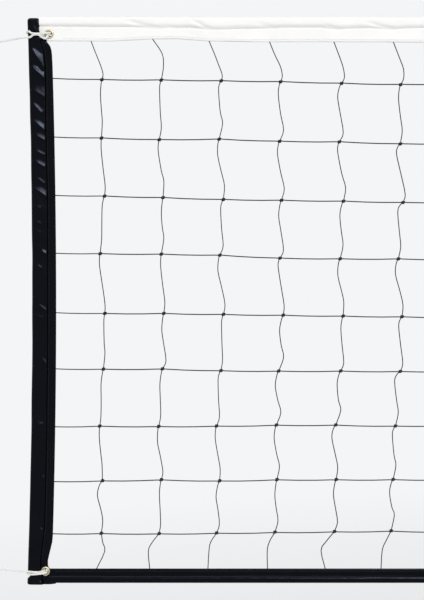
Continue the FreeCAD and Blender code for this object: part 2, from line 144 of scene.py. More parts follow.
def meshPiece(name, grids, material, mirror=False, clothEnds=None, holes=()):
    corners, quads, places = [], [], []
    count = 0
    for points, place in grids:
        rows, columns = points.shape[:2]
        index = np.arange(rows * columns).reshape(rows, columns) + count
        quads.append(cellsOf(np.concatenate([index, index[:, :1]], axis=1)).reshape(-1, 4))
        places.append(cellsOf(place).reshape(-1, 2))
        corners.append(points.reshape(-1, 3))
        count += rows * columns
    if clothEnds is not None:
        quads.append(clothEnds)
        places.append(np.zeros((len(clothEnds) * 4, 2)))
    corners, quads, places = (np.concatenate(parts) for parts in (corners, quads, places))
    if mirror:
        corners = flipped(corners)
        quads = quads[:, ::-1]
        places = places.reshape(-1, 4, 2)[:, ::-1].reshape(-1, 2)
    mesh = bpy.data.meshes.new(name)
    mesh.from_pydata(corners.tolist(), [], quads.tolist())
    layer = mesh.uv_layers.new(name="UVMap")
    layer.data.foreach_set("uv", places.ravel())
    mesh.polygons.foreach_set("use_smooth", [True] * len(mesh.polygons))
    if clothEnds is not None:
        finishCloth(mesh, holes)
    mesh.materials.append(material)
    return linked(name, mesh)


def standFor(piece, name):
    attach(piece, "net")
    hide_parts(name)


def along(path):
    steps = np.linalg.norm(np.diff(path, axis=0), axis=1)
    return np.concatenate([[0], np.cumsum(steps)])


def framesOf(path):
    ahead = np.gradient(path, axis=0)
    ahead /= np.linalg.norm(ahead, axis=1, keepdims=True)
    start = np.array([0.0, 1.0, 0.0]) if abs(ahead[0][1]) < 0.8 else np.array([0.0, 0.0, 1.0])
    across = np.empty_like(path)
    for spot, forward in enumerate(ahead):
        start = start - forward * start.dot(forward)
        start /= np.linalg.norm(start)
        across[spot] = start
    return ahead, across, np.cross(ahead, across)


def tubeGrid(path, radius, sides, frames=None):
    path = np.asarray(path, float)
    _, across, other = frames if frames is not None else framesOf(path)
    angle = np.linspace(0, 2 * math.pi, sides, endpoint=False)[:, None]
    radius = np.broadcast_to(np.asarray(radius, float), len(path))[:, None, None]
    ring = np.cos(angle) * across[:, None] + np.sin(angle) * other[:, None]
    turns = np.linspace(0, 1, sides + 1)
    place = np.stack(np.broadcast_arrays(along(path)[:, None], turns), axis=-1)
    return path[:, None] + radius * ring, place


def resampled(path, step):
    path = np.asarray(path, float)
    run = along(path)
    spots = np.linspace(0, run[-1], max(3, int(round(run[-1] / step)) + 1))
    return np.stack([np.interp(spots, run, path[:, axis]) for axis in range(3)], axis=1)


def throughPoints(points, samples):
    # a smooth line through every point, with a given number of steps between two
    points = np.asarray(points, float)
    ends = np.concatenate([[2 * points[0] - points[1]], points, [2 * points[-1] - points[-2]]])
    share = np.linspace(0, 1, samples, endpoint=False)[:, None]
    line = []
    for a, b, c, d in zip(ends, ends[1:], ends[2:], ends[3:]):
        line.append(0.5 * (2 * b + (c - a) * share + (2 * a - 5 * b + 4 * c - d) * share ** 2
                           + (3 * b - a - 3 * c + d) * share ** 3))
    line.append(points[-1:])
    return np.concatenate(line)


# Shader building.
def newGroup(name, inputs, outputs):
    group = bpy.data.node_groups.new(name, "ShaderNodeTree")
    for label, value in inputs.items():
        socket = group.interface.new_socket(name=label, in_out="INPUT", socket_type="NodeSocketFloat")
        socket.default_value = value
    for label in outputs:
        group.interface.new_socket(name=label, in_out="OUTPUT", socket_type="NodeSocketFloat")
    return group, group.nodes.new("NodeGroupInput"), group.nodes.new("NodeGroupOutput")


def node(tree, kind, **settings):
    made = tree.nodes.new(kind)
    for name, value in settings.items():
        setattr(made, name, value)
    return made


def wire(tree, start, end):
    tree.links.new(start, end)


def setInputs(made, values):
    for name, value in values.items():
        made.inputs[name].default_value = value


def sums(tree, kind, *values):
    made = node(tree, "ShaderNodeMath", operation=kind)
    for socket, value in zip(made.inputs, values):
        if isinstance(value, (int, float)):
            socket.default_value = value
        else:
            wire(tree, value, socket)
    return made.outputs[0]


def noiseNode(tree, coordinates, scale, detail, rough):
    made = node(tree, "ShaderNodeTexNoise")
    setInputs(made, {"Scale": scale, "Detail": detail, "Roughness": rough})
    wire(tree, coordinates, made.inputs["Vector"])
    return made.outputs["Fac"]


def spread(tree, value, low, high, newLow=0, newHigh=1):
    made = node(tree, "ShaderNodeMapRange")
    setInputs(made, {"From Min": low, "From Max": high, "To Min": newLow, "To Max": newHigh})
    wire(tree, value, made.inputs["Value"])
    return made.outputs["Result"]


# Textures that several finishes share. A noise is given by its scale, detail and roughness.
textures = {
    "weave": {"Scale": 190, "Distortion": 0.4},
    "weaveShare": 0.22,
    "cloud": (28, 4, 0.55),
    "fibre": (2600, 2, 0.6),
    "fibreHeight": 0.35,
    "fibreShade": 0.4,
    "ridgeShade": 0.75,
    "blotchDetail": 5,
    "speck": (1400, 2, 0.7),
    "speckFrom": (0.6, 0.8),
}


def makeVinylGrain():
    # fine pebbled grain of coated cloth, with the base weave pressing through and slow unevenness
    group, inside, outside = newGroup("vinylGrain", {"Grain": 900.0}, ("Height", "Cloud"))
    spot = node(group, "ShaderNodeTexCoord").outputs["Object"]
    cells = node(group, "ShaderNodeTexVoronoi", feature="SMOOTH_F1")
    wire(group, spot, cells.inputs["Vector"])
    wire(group, inside.outputs["Grain"], cells.inputs["Scale"])
    threads = []
    for way in ("X", "Z"):
        weave = node(group, "ShaderNodeTexWave", wave_type="BANDS", bands_direction=way)
        setInputs(weave, textures["weave"])
        wire(group, spot, weave.inputs["Vector"])
        threads.append(weave.outputs["Fac"])
    pressed = sums(group, "MULTIPLY", sums(group, "ADD", *threads), textures["weaveShare"])
    wire(group, sums(group, "ADD", cells.outputs["Distance"], pressed), outside.inputs["Height"])
    wire(group, noiseNode(group, spot, *textures["cloud"]), outside.inputs["Cloud"])
    return group


def makeStrandLay():
    # the slanting strands of twine, thread or rope, from a tube's own length and turn; Shade paints shade
    # into the grooves between them
    group, inside, outside = newGroup("strandLay", {"Pitch": 0.006, "Strands": 3.0}, ("Height", "Shade"))
    split = node(group, "ShaderNodeSeparateXYZ")
    wire(group, node(group, "ShaderNodeTexCoord").outputs["UV"], split.inputs[0])
    turns = sums(group, "DIVIDE", split.outputs["X"], inside.outputs["Pitch"])
    slant = sums(group, "SUBTRACT", split.outputs["Y"], turns)
    phase = sums(group, "MULTIPLY", slant, inside.outputs["Strands"])
    ridge = sums(group, "ABSOLUTE", sums(group, "SINE", sums(group, "MULTIPLY", phase, math.pi)))
    fibre = noiseNode(group, node(group, "ShaderNodeTexCoord").outputs["Object"], *textures["fibre"])
    height = sums(group, "ADD", ridge, sums(group, "MULTIPLY", fibre, textures["fibreHeight"]))
    # painted shade: the grooves between strands go dark and the crests light, and the fibre noise adds the
    # strands' own uneven tone
    shade = sums(group, "ADD", sums(group, "MULTIPLY", ridge, textures["ridgeShade"]),
                 sums(group, "MULTIPLY", fibre, textures["fibreShade"]))
    wire(group, height, outside.inputs["Height"])
    wire(group, shade, outside.inputs["Shade"])
    return group


def makeHandling():
    # blotches of dust and dulling where a thing is handled
    group, inside, outside = newGroup("handling", {"Size": 60.0}, ("Blotch", "Speck"))
    spot = node(group, "ShaderNodeTexCoord").outputs["Object"]
    wide = node(group, "ShaderNodeTexNoise")
    wide.inputs["Detail"].default_value = textures["blotchDetail"]
    wire(group, spot, wide.inputs["Vector"])
    wire(group, inside.outputs["Size"], wide.inputs["Scale"])
    wire(group, wide.outputs["Fac"], outside.inputs["Blotch"])
    fine = noiseNode(group, spot, *textures["speck"])
    wire(group, spread(group, fine, *textures["speckFrom"]), outside.inputs["Speck"])
    return group


vinylGrain = makeVinylGrain()
strandLay = makeStrandLay()
handling = makeHandling()


# Finishes. Each blends two colours and two roughnesses, has a bump with its strength and its depth in
# metres, and sets some of the shader's own values. blotch and gloss are the stretches of a mask over which
# the colours and the roughnesses blend.
finishes = {
    "whiteVinyl": {
        "grain": 1000.0, "wear": 22.0, "blotch": (0.35, 0.75), "gloss": (0.3, 0.7), "bump": (0.25, 0.00012),
        "colours": ((0.882, 0.876, 0.864), (0.850, 0.845, 0.832)), "rough": (0.40, 0.55),
        "shader": {"Specular IOR Level": 0.35},
    },
    "blackVinyl": {
        "grain": 1000.0, "wear": 35.0, "blotch": (0.4, 0.8), "gloss": (0.3, 0.7), "bump": (0.09, 0.0001),
        "colours": ((0.0007, 0.0003, 0.0004), (0.0017, 0.0010, 0.0015)), "rough": (0.14, 0.24),
        "shader": {"Specular IOR Level": 0.115, "Specular Tint": (0.63, 0.75, 1.0, 1)},
    },
    # the fibres blend their dark and light colours by Shade: painted shade in the grooves between strands,
    # and the fibres' own tone
    "meshTwine": {
        "pitch": 0.0075, "strands": 3.0, "sheen": 0.04, "gloss": (0, 1), "bump": (0.6, 0.0003),
        "colours": ((0.003, 0.003, 0.0035), (0.022, 0.022, 0.026)), "rough": (0.74, 0.62),
    },
    "cordFibre": {
        "pitch": 0.0040, "strands": 2.0, "sheen": 0.25, "gloss": (0, 1), "bump": (0.6, 0.00015),
        "colours": ((0.72, 0.71, 0.68), (0.86, 0.855, 0.835)), "rough": (0.67, 0.55),
    },
    "ropeFibre": {
        "pitch": 0.0060, "strands": 4.0, "sheen": 0.15, "gloss": (0, 1), "bump": (0.6, 0.0002),
        "colours": ((0.60, 0.59, 0.54), (0.82, 0.81, 0.77)), "rough": (0.62, 0.5),
    },
    "whiteThread": {
        "pitch": 0.0012, "strands": 2.0, "sheen": 0.1, "gloss": (0, 1), "bump": (0.6, 0.0001),
        "colours": ((0.70, 0.70, 0.69), (0.90, 0.90, 0.89)), "rough": (0.62, 0.5),
    },
    "blackThread": {
        "pitch": 0.0012, "strands": 2.0, "sheen": 0.02, "gloss": (0, 1), "bump": (0.6, 0.0001),
        "colours": ((0.001, 0.001, 0.0012), (0.005, 0.005, 0.006)), "rough": (0.67, 0.55),
    },
    "eyeletBrass": {
        "wear": 700.0, "blotch": (0.35, 0.75), "gloss": (0.3, 0.7), "bump": (0.1, 0.00005),
        "colours": ((0.62, 0.56, 0.39), (0.40, 0.34, 0.20)), "rough": (0.26, 0.44),
        "shader": {"Metallic": 1},
    },
    "glassFibre": {
        "wear": 40.0, "blotch": (0.3, 0.7), "gloss": (0.3, 0.7), "bump": (0.3, 0.00006),
        "colours": ((0.62, 0.63, 0.50), (0.78, 0.79, 0.68)), "rough": (0.30, 0.5),
        "stretch": (1800, 1800, 12), "streaks": (1, 3, 0.6),
    },
    "capRubber": {
        "wear": 120.0, "blotch": (0.35, 0.8), "gloss": (0, 1), "bump": (0.2, 0.0001),
        "colours": ((0.018, 0.018, 0.018), (0.035, 0.034, 0.032)), "rough": (0.62, 0.8),
    },
}
fibreShader = {"Specular IOR Level": 0.25, "Sheen Roughness": 0.5}


def newMaterial(name):
    material = bpy.data.materials.new(name)
    material.use_nodes = True
    tree = material.node_tree
    return material, tree, tree.nodes["Principled BSDF"]


def placed(tree, group, **values):
    made = node(tree, "ShaderNodeGroup", node_tree=group)
    setInputs(made, values)
    return made


def dress(tree, shader, look, blend, gloss, height):
    # blend mixes the two colours, gloss the two roughnesses, and height feeds the bump
    mixed = node(tree, "ShaderNodeMix", data_type="RGBA")
    for socket, colour in zip((mixed.inputs[6], mixed.inputs[7]), look["colours"]):
        socket.default_value = (*colour, 1)
    wire(tree, blend, mixed.inputs[0])
    wire(tree, mixed.outputs[2], shader.inputs["Base Color"])
    wire(tree, spread(tree, gloss, *look["gloss"], *look["rough"]), shader.inputs["Roughness"])
    bump = node(tree, "ShaderNodeBump")
    bump.inputs["Strength"].default_value, bump.inputs["Distance"].default_value = look["bump"]
    wire(tree, height, bump.inputs["Height"])
    wire(tree, bump.outputs["Normal"], shader.inputs["Normal"])
    setInputs(shader, look.get("shader", {}))


def makeVinyl(name):
    material, tree, shader = newMaterial(name)
    look = finishes[name]
    grain = placed(tree, vinylGrain, Grain=look["grain"]).outputs
    marks = placed(tree, handling, Size=look["wear"]).outputs
    dress(tree, shader, look, spread(tree, marks["Blotch"], *look["blotch"]), grain["Cloud"], grain["Height"])
    return material


def makeFibre(name):
    material, tree, shader = newMaterial(name)
    look = finishes[name]
    lay = placed(tree, strandLay, Pitch=look["pitch"], Strands=look["strands"]).outputs
    # the colours follow the painted shade in the grooves between the strands
    dress(tree, shader, look, lay["Shade"], lay["Shade"], lay["Height"])
    setInputs(shader, {**fibreShader, "Sheen Weight": look["sheen"]})
    return material


def makeWorn(name, gloss, height):
    # a plain material whose blotches and specks give its gloss and its bump
    material, tree, shader = newMaterial(name)
    look = finishes[name]
    marks = placed(tree, handling, Size=look["wear"]).outputs
    dress(tree, shader, look, spread(tree, marks["Blotch"], *look["blotch"]), marks[gloss], marks[height])
    return material


def makeGlassFibre():
    material, tree, shader = newMaterial("glassFibre")
    look = finishes["glassFibre"]
    stretch = node(tree, "ShaderNodeMapping")
    stretch.inputs["Scale"].default_value = look["stretch"]
    wire(tree, node(tree, "ShaderNodeTexCoord").outputs["Object"], stretch.inputs["Vector"])
    streaks = noiseNode(tree, stretch.outputs["Vector"], *look["streaks"])
    marks = placed(tree, handling, Size=look["wear"]).outputs
    dress(tree, shader, look, spread(tree, streaks, *look["blotch"]), marks["Blotch"], streaks)
    return material


whiteVinyl = makeVinyl("whiteVinyl")
blackVinyl = makeVinyl("blackVinyl")
meshTwine = makeFibre("meshTwine")
cordFibre = makeFibre("cordFibre")
ropeFibre = makeFibre("ropeFibre")
whiteThread = makeFibre("whiteThread")
blackThread = makeFibre("blackThread")
eyeletBrass = makeWorn("eyeletBrass", "Blotch", "Speck")
glassFibre = makeGlassFibre()
capRubber = makeWorn("capRubber", "Speck", "Blotch")
print("materials made")


# Tie cords. Each runs from the stop knot behind its eyelet to the knotted eye. A route's points lead from
# the tight run outside the net to the stop knot, measured from the net's left edge and its top or bottom.
tie = {
    "cord": 4.0,
    "step": 0.9,
    "lay": 15.0,  # length of a strand's turn
    "core": 0.31,  # radius of the core, as a share of the cord's diameter
    "strand": 0.15,  # and of a strand
    "weave": 0.045,  # how far a strand goes over and under the others
    "toKnot": 26.0,  # from the eye's middle to the knot's face
    "knotLength": 12.0,
}
tieCorners = {
    "top": {
        "edge": topZ,
        "eye": (-83.6, 0, -49.6),
        "length": 0.2186,  # metres
        "route": [
            (-31, -3.2, -41.0), (-4, -7.8, -37.2), (6.5, -9.8, -38.0), (11, -11.8, -33.0), (22, -11.6, -32.9),
            (29, -8.8, -39.8), (35.4, -8.4, -38.8), (36.7, -6.6, -32.3), (36.7, 6.9, -32.3), (26, 8.0, -31.2),
            (14, 9.2, -30.0), (4, 8.7, -29.2), (-0.9, 4.2, -28.0), (-0.9, -4.2, -27.4), (4, -8.7, -26.6),
            (8, -9.0, -31.0), (25, -8.7, -31.0), (39.9, -7.6, -28.9), (39.9, 6.6, -29.2), (47, 7.4, -25.5),
        ],
    },
    "bottom": {
        "edge": footZ,
        "eye": (-83.6, 0, 31.0),
        "length": 0.1972,  # metres
        "route": [
            (-31, -3.2, 23.0), (-6, -7.6, 22.2), (7, -9.4, 21.2), (16, -8.8, 20.6), (22, -8.2, 20.3),
            (30.0, -6.8, 22.7), (30.0, 6.9, 22.7), (21, 8.3, 21.4), (13, 9.3, 20.2), (4, 8.7, 19.0),
            (0.2, 4.2, 18.0), (0.2, -4.2, 17.4), (4, -8.7, 16.9), (13, -9.6, 16.9), (20, -11.6, 18.2),
            (27, -10.8, 18.8), (33.2, -7.6, 19.0), (33.2, 6.6, 19.5), (40.5, 7.4, 15.6),
        ],
    },
}
eyeShape = {
    "corners": [(7, 10.5), (-12, 9.5), (-12, -9.5), (7, -10.5)],  # from its middle, along the tie and across
    "legSpread": 2.2,
    "legStart": 18.0,
    "barrelTurns": 2.9,
    "barrelRadius": 3.3,
    "barrelInset": 2.0,  # from the knot's ends to its outer turns
    "barrelTaper": 0.35,
    "coreShare": 0.6,  # radius of the cords inside the barrel, as a share of the cord's diameter
}
stopShape = {
    "radius": 4.3,
    "loopReach": 2.6,  # how far a trefoil's formula reaches, in its own radii
    "depth": 2.6,
    "ball": 4.8,  # radius of the knot in the frame
    "flat": 0.8,  # how many of its radii the knot's middle lies beyond the route
    "tight": 0.92,  # the cord's thickness where it is pulled into the knot, as a share
    "tail": 9.0,
    "tailWay": (0.75, -0.45),
    "tailSag": 2.5,
    "cutEnd": ((0, 0.46), (0.25, 0.36), (0.45, 0.02)),  # how far out, and the radius there as a share
}


def routeLine(points):
    # the smooth line that a cord follows, its points being the spline's control points
    curve = bpy.data.curves.new("route", "CURVE")
    curve.dimensions = "3D"
    curve.resolution_u = 10
    spline = curve.splines.new("NURBS")
    spline.points.add(len(points) - 1)
    for spot, point in zip(spline.points, points):
        spot.co = (*point, 1)
    spline.order_u = 3
    spline.use_endpoint_u = True
    holder = linked("route", curve)
    mesh = bpy.data.meshes.new_from_object(holder)
    line = np.array([vertex.co for vertex in mesh.vertices])
    bpy.data.objects.remove(holder)
    bpy.data.curves.remove(curve)
    bpy.data.meshes.remove(mesh)
    return line


def braided(line, diameter):
    # eight strands, four each way, over and under each other round a core
    line = resampled(line, tie["step"] * mm)
    frames = framesOf(line)
    _, across, other = frames
    run = along(line) / (tie["lay"] * mm) * 2 * math.pi
    grids = [tubeGrid(line, tie["core"] * diameter, 8, frames)]
    for way in (1, -1):
        lift = way * tie["weave"] * diameter * np.cos(4 * run)
        out = (tie["core"] * diameter + lift)[:, None]
        for strand in range(4):
            angle = (way * run + strand * math.pi / 2)[:, None]
            path = line + out * (np.cos(angle) * across + np.sin(angle) * other)
            grids.append(tubeGrid(path, tie["strand"] * diameter, 5))
    return grids


def tieLine(corner):
    # the cord's line, the eye's middle, the way out from there to the knot, and the route's own points
    def place(point):
        return np.array([edgeX + point[0] * mm, point[1] * mm, corner["edge"] + point[2] * mm])

    route = [place(point) for point in corner["route"]]
    middle = place(corner["eye"])
    outward = (route[0] - middle) / np.linalg.norm(route[0] - middle)
    return routeLine([middle + outward * tie["toKnot"] * mm, *route][::-1]), middle, outward, route


def eyeAndKnot(middle, outward):
    across = np.array([-outward[2], 0, outward[0]])
    side = np.array([0.0, 1.0, 0.0])
    start, apart = eyeShape["legStart"], eyeShape["legSpread"]
    corners = [(start, apart), *eyeShape["corners"], (start, -apart)]
    loop = routeLine([middle + outward * a * mm + across * b * mm for a, b in corners])
    turn = np.linspace(0, 1, 80)
    angle = (turn * eyeShape["barrelTurns"] * 2 * math.pi)[:, None]
    knotStart, inset = tie["toKnot"] - tie["knotLength"], eyeShape["barrelInset"]
    reach = (knotStart + inset + turn * (tie["knotLength"] - 2 * inset)) * mm
    wide = eyeShape["barrelRadius"] * mm * (1 - eyeShape["barrelTaper"] * np.abs(2 * turn - 1) ** 6)
    turned = np.cos(angle) * across + np.sin(angle) * side
    barrel = middle + reach[:, None] * outward + wide[:, None] * turned
    cord = tie["cord"] * mm
    core = middle + np.linspace(knotStart, tie["toKnot"] + 0.5, 6)[:, None] * mm * outward
    return braided(loop, cord) + braided(barrel, cord) + [tubeGrid(core, eyeShape["coreShare"] * cord, 8)]


def stopKnot(route):
    # a trefoil, with a short tail that is cut and rounded
    last = route[-1] - route[-2]
    last /= np.linalg.norm(last)
    middle = route[-1] + last * stopShape["flat"] * stopShape["ball"] * mm
    side = np.cross(last, [0.0, 1.0, 0.0])
    side /= np.linalg.norm(side)
    other = np.cross(last, side)
    turn = np.linspace(0, 2 * math.pi, 90)[:, None]
    radius = stopShape["radius"] * mm / stopShape["loopReach"]
    knot = (middle + radius * (np.sin(turn) + 2 * np.sin(2 * turn)) * side
            + radius * (np.cos(turn) - 2 * np.cos(2 * turn)) * other
            - stopShape["depth"] * mm * np.sin(3 * turn) * last)
    reach = np.linspace(0, 1, 14)[:, None]
    onward, sideways = stopShape["tailWay"]
    tail = (middle + reach * stopShape["tail"] * mm * (onward * last + sideways * side)
            + (reach ** 2) * np.array([0, 0, -stopShape["tailSag"] * mm]))
    out, radii = np.array(stopShape["cutEnd"]).T
    end = tail[-1] + out[:, None] * np.array([1, 0, -1]) * mm
    cord = tie["cord"] * mm
    thin = stopShape["tight"] * cord
    return braided(knot, thin) + braided(tail, thin) + [tubeGrid(end, radii * cord, 10)]


def makeTies(name):
    corner = tieCorners[name]
    line, middle, outward, route = tieLine(corner)
    shapes = {
        "cord": ("tie_cord", braided(line, tie["cord"] * mm)),
        "eye": ("tie_eye", eyeAndKnot(middle, outward)),
        "stop": ("stop_knot", stopKnot(route)),
    }
    for side in ("left", "right"):
        right = side == "right"
        for short, (stands, grids) in shapes.items():
            piece = meshPiece(f"{short}_{name}_{side}", grids, cordFibre, right)
            standFor(piece, f"{stands}_{name}_{side}")
        path = flipped(line) if right else line


makeTies("top")
makeTies("bottom")
print("tie cords made")


# Netting. Cross twines are hitched round the uprights, which sway between the knots. Rows are counted from
# the top and uprights from the left, and a list with a value for each follows that order.
netting = {
    "twine": 2.0,
    "upright": 1.85,
    "sides": 6,
    "knot": 1.2,  # how much thicker the twine is in a hitch
    "inset": 38.2,  # from the net's edge to the edge twine
    "edgeColumn": 92.4,
    "pitch": 105.0,
    "topTuck": 34.0,  # from the head band's top edge
    "footTuck": 21.0,  # from the foot band's bottom edge
    "firstRow": 118.4,
    "lastRow": 90.8,
    "rowTaper": 1.9,
    "rowLift": (11, 13, 13.5, 13, 7.5, 6, -1, -4, -4),  # how much higher a row lies at the sleeves
    "settle": 640.0,  # how far from the sleeves that ends
    "rowShift": (1, -1.5, 5, -1.5, 7, 3.5, -2.5, 3, -1),  # how far a row lies to the right at the left end
    "rowTurns": (0.6, 0.3),  # how often that comes round along the net in the top row, and more per row
    "columnShift": {5: 3.0, 6: 2.0},
    "lean": 15.0,  # how far the lowest knots lag behind the highest
    "leanFrom": 3,  # the last row that doesn't
    "leanRun": (130.0, 650.0),
    "jitter": (1.0, 0.8),  # how unevenly the knots lie, along and down
    "pictured": 6,  # how many uprights inside the edge follow the photograph
    "firstRun": [(-22.5, -11.5, -3, 2), (-19, 1, 4, 2), (-25, -12, -4, 2), (-23.5, -10.5, -0.5, 3),
                 (-17.5, -4, 3, 5), (-17, -2.5, 5, 5)],  # how far right of its first knot an upright is
    "firstRises": (48.0, 27.0, 10.0),  # at its start and at these heights above the knot
    "lastRun": [(2.5, 6, -10.5), (-12.5, -19, -16), (-10.5, -13.5, -15.5), (-9.5, -13.5, -13),
                (-14, -23.5, -15), (-8.5, -15.5, -18)],  # how far right of its last knot it is
    "lastDrops": (0.24, 0.48),  # at these shares of the way down, and at its end
    "above": (1.5, 4.2, 4.0, 4.8, 4.5, 3.5),  # bulge to the right above a knot, per upright
    "below": (2.5, 3.0, 4.0, 4.0, 5.5, 6.5),  # bulge to the left below it
    "deepCell": (1, 8, 8.5),  # one upright's cell that bulges more
    "aboveReach": 21.0,  # from the knot up to the bulge above it
    "belowReach": 23.0,  # and down to the bulge below it
    "early": (0.3, 0.62),  # at this share of the way down to that bulge, the twine has this share of it
    "middle": (0.54, 0.3),  # at this share of the way down the cell, it has this share of both bulges
    "wild": (0.75, 1.25),  # between which shares the first and last runs vary outside the picture
    "uneven": {  # between which shares a cell's bulges vary
        "belowReach": (0.65, 1.3), "aboveReach": (0.65, 1.4), "below": (0.55, 1.3), "above": (0.4, 1.5),
    },
    "sway": 1.2,  # how far a cell stands in front of the net or behind it
    "edgeTwine": [(40, 31), (46, 33), (60, 37), (70, 38.2), (925, 38.2), (950, 34), (975, 31.5),
                  (1000, 31.5)],  # how far down, and how far in from the net's edge
    "cellSteps": 3,
    "crossShares": (0.06, 0.35, 0.65, 0.94),  # where a cross twine's points lie between two knots
    "crossFront": 0.9,  # how many twines in front of the knots it runs
    "crossSag": 1.0,
    "hitchOut": (1.06, 0.95, 0.16),  # how far out a hitch lies, how much more in front, and over what share
    "hitchRise": [(0, -0.3), (0.45, -0.95), (0.84, -0.9), (1.16, 0.9), (1.55, 0.95),
                  (2, 0.3)],  # after how many turns it is how high
}


def columnPlaces():
    first = edgeX + netting["inset"] * mm
    last = farX - netting["inset"] * mm
    edge = netting["edgeColumn"] * mm
    inner = round((last - first - 2 * edge) / (netting["pitch"] * mm))
    step = (last - first - 2 * edge) / inner
    return np.array([first, *(first + edge + step * np.arange(inner + 1)), last])


def rowDepths(x):
    # how far each cross twine lies below the head band's top edge, edge twines left out
    nearEnd = min(x - edgeX, farX - x) / mm
    rise = max(0.0, 1 - nearEnd / netting["settle"])
    steps = len(netting["rowLift"]) - 1
    height = (topZ - footZ) / mm
    mean = (height - netting["lastRow"] - netting["firstRow"]) / steps
    depth = netting["firstRow"]
    depths = []
    for row, lift in enumerate(netting["rowLift"]):
        depths.append(depth - lift * rise)
        depth += mean + netting["rowTaper"] * ((steps - 1) / 2 - row)
    return depths


def netKnots():
    # knots[row, column] = x and z
    columns = columnPlaces()
    rows = len(netting["rowLift"])
    knots = np.zeros((rows, len(columns), 2))
    lag, full = netting["leanRun"]
    turns, moreTurns = netting["rowTurns"]
    jitterAlong, jitterDown = netting["jitter"]
    for number, x in enumerate(columns):
        inner = 0 < number < len(columns) - 1
        reach = (x - edgeX) / (farX - edgeX)
        ends = np.clip((min(x - edgeX, farX - x) / mm - lag) / (full - lag), 0, 1)
        depths = rowDepths(x)
        for row in range(rows):
            shift = netting["rowShift"][row] * math.cos(2 * math.pi * reach * (turns + moreTurns * row))
            shift += netting["columnShift"].get(number, 0)
            down = max(0, row - netting["leanFrom"]) / (rows - 1 - netting["leanFrom"])
            lean = netting["lean"] * down ** 1.5 * ends * math.cos(math.pi * reach)
            jitter = rng.normal(0, 1.0, 2) if inner else (0, 0)
            knots[row, number, 0] = x + ((shift - lean + jitterAlong * jitter[0]) * mm if inner else 0)
            knots[row, number, 1] = topZ - (depths[row] + jitterDown * jitter[1]) * mm
    return columns, knots


def edgeLine(number, foot):
    # the twine along the net's own edge, drawn in at the corners
    depths = np.linspace(netting["topTuck"], (topZ - foot) / mm, 120)
    inset = readOff(netting["edgeTwine"], depths) * mm
    edge = edgeX + inset if number == 0 else farX - inset
    return np.stack([edge, np.zeros_like(depths), topZ - depths * mm], axis=1)


def cellPoints(start, end, under, over, below, above):
    # an upright between two knots bulges to the left below the upper one and to the right above the lower
    drop = start[1] - end[1]
    slope = (end[0] - start[0]) / drop
    early, earlyShare = netting["early"]
    middle, middleShare = netting["middle"]
    return [start, (start[0] + early * slope * under - earlyShare * below, start[1] - early * under),
            (start[0] + slope * under - below, start[1] - under),
            (start[0] + middle * slope * drop + middleShare * (above - below), start[1] - middle * drop),
            (end[0] - slope * over + above, end[1] + over), end]


def uprightLine(number, columns, knots):
    top = topZ - netting["topTuck"] * mm
    foot = footZ + netting["footTuck"] * mm
    if number in (0, len(columns) - 1):
        return edgeLine(number, foot)
    chosen = min(number, netting["pictured"]) - 1
    wild = 1 if number <= netting["pictured"] else rng.uniform(*netting["wild"])
    uneven = netting["uneven"]
    firstRun, lastRun = netting["firstRun"][chosen], netting["lastRun"][chosen]
    corners = [(knots[0, number, 0] + firstRun[0] * mm * wild, top), *knots[:, number],
               (knots[-1, number, 0] + lastRun[-1] * mm * wild, foot)]
    line = []
    for row, (start, end) in enumerate(zip(corners, corners[1:])):
        under = netting["belowReach"] * mm * rng.uniform(*uneven["belowReach"])
        over = netting["aboveReach"] * mm * rng.uniform(*uneven["aboveReach"])
        below = netting["below"][chosen] * mm * rng.uniform(*uneven["below"])
        above = netting["above"][chosen] * mm * rng.uniform(*uneven["above"])
        if (number, row) == netting["deepCell"][:2]:
            below = netting["deepCell"][2] * mm
        points = cellPoints(start, end, under, over, below, above)
        if row == 0:
            middle = [(end[0] + right * mm * wild, end[1] + rise * mm)
                      for right, rise in zip(firstRun[1:], netting["firstRises"])]
            points = [start, *middle, end]
        if row == len(corners) - 2:
            middle = [(start[0] + right * mm * wild, start[1] - share * (start[1] - end[1]))
                      for right, share in zip(lastRun, netting["lastDrops"])]
            points = [start, *middle, end]
        sway = rng.uniform(-netting["sway"], netting["sway"]) * mm
        away = np.sin(np.linspace(0, math.pi, len(points)))
        cell = throughPoints([(a, sway * out, b) for (a, b), out in zip(points, away)], netting["cellSteps"])
        line.append(cell[:-1])
    line.append(cell[-1:])
    return np.concatenate(line)


def hitch():
    # a clove hitch round an upright, in twine diameters: a turn below, a slanting pass in front, a turn above
    share = np.linspace(0, 2, 21)
    angle = -math.pi / 2 + 2 * math.pi * share
    plain, more, over = netting["hitchOut"]
    out = plain + more * np.exp(-((share - 1) / over) ** 2)
    return np.stack([out * np.cos(angle), out * np.sin(angle), readOff(netting["hitchRise"], share)], axis=1)


def crossLine(row, first, last, columns, knots):
    # a cross twine from one column to another, hitched at each upright but the net's own edges
    thick = netting["twine"] * mm
    plain = thick / 2
    shape = hitch() * thick
    swell = plain * (1 + (netting["knot"] - 1) * np.sin(np.linspace(0, math.pi, len(shape))) ** 0.5)
    line, radii = [], []
    for number in range(first, last + 1):
        spot = np.array([knots[row, number, 0], 0, knots[row, number, 1]])
        if number in (0, len(columns) - 1):
            line.append(spot[None])
            radii.append([plain])
        elif number > first:
            line.append(spot + shape)
            radii.append(swell)
        else:  # the hitch belongs to the part on the left
            line.append(spot[None] + shape[-1:])
            radii.append([plain])
        if number == last:
            break
        ahead = np.array([knots[row, number + 1, 0], 0, knots[row, number + 1, 1]])
        for share in netting["crossShares"]:
            sag = -netting["crossSag"] * mm * math.sin(math.pi * share)
            front = -netting["crossFront"] * thick
            if number == 0 or number + 1 == len(columns) - 1:
                front *= smoothstep(0.06, 0.6, share if number == 0 else 1 - share)
            line.append((spot + (ahead - spot) * share + np.array([0, front, sag]))[None])
            radii.append([plain])
    return np.concatenate(line), np.concatenate(radii)


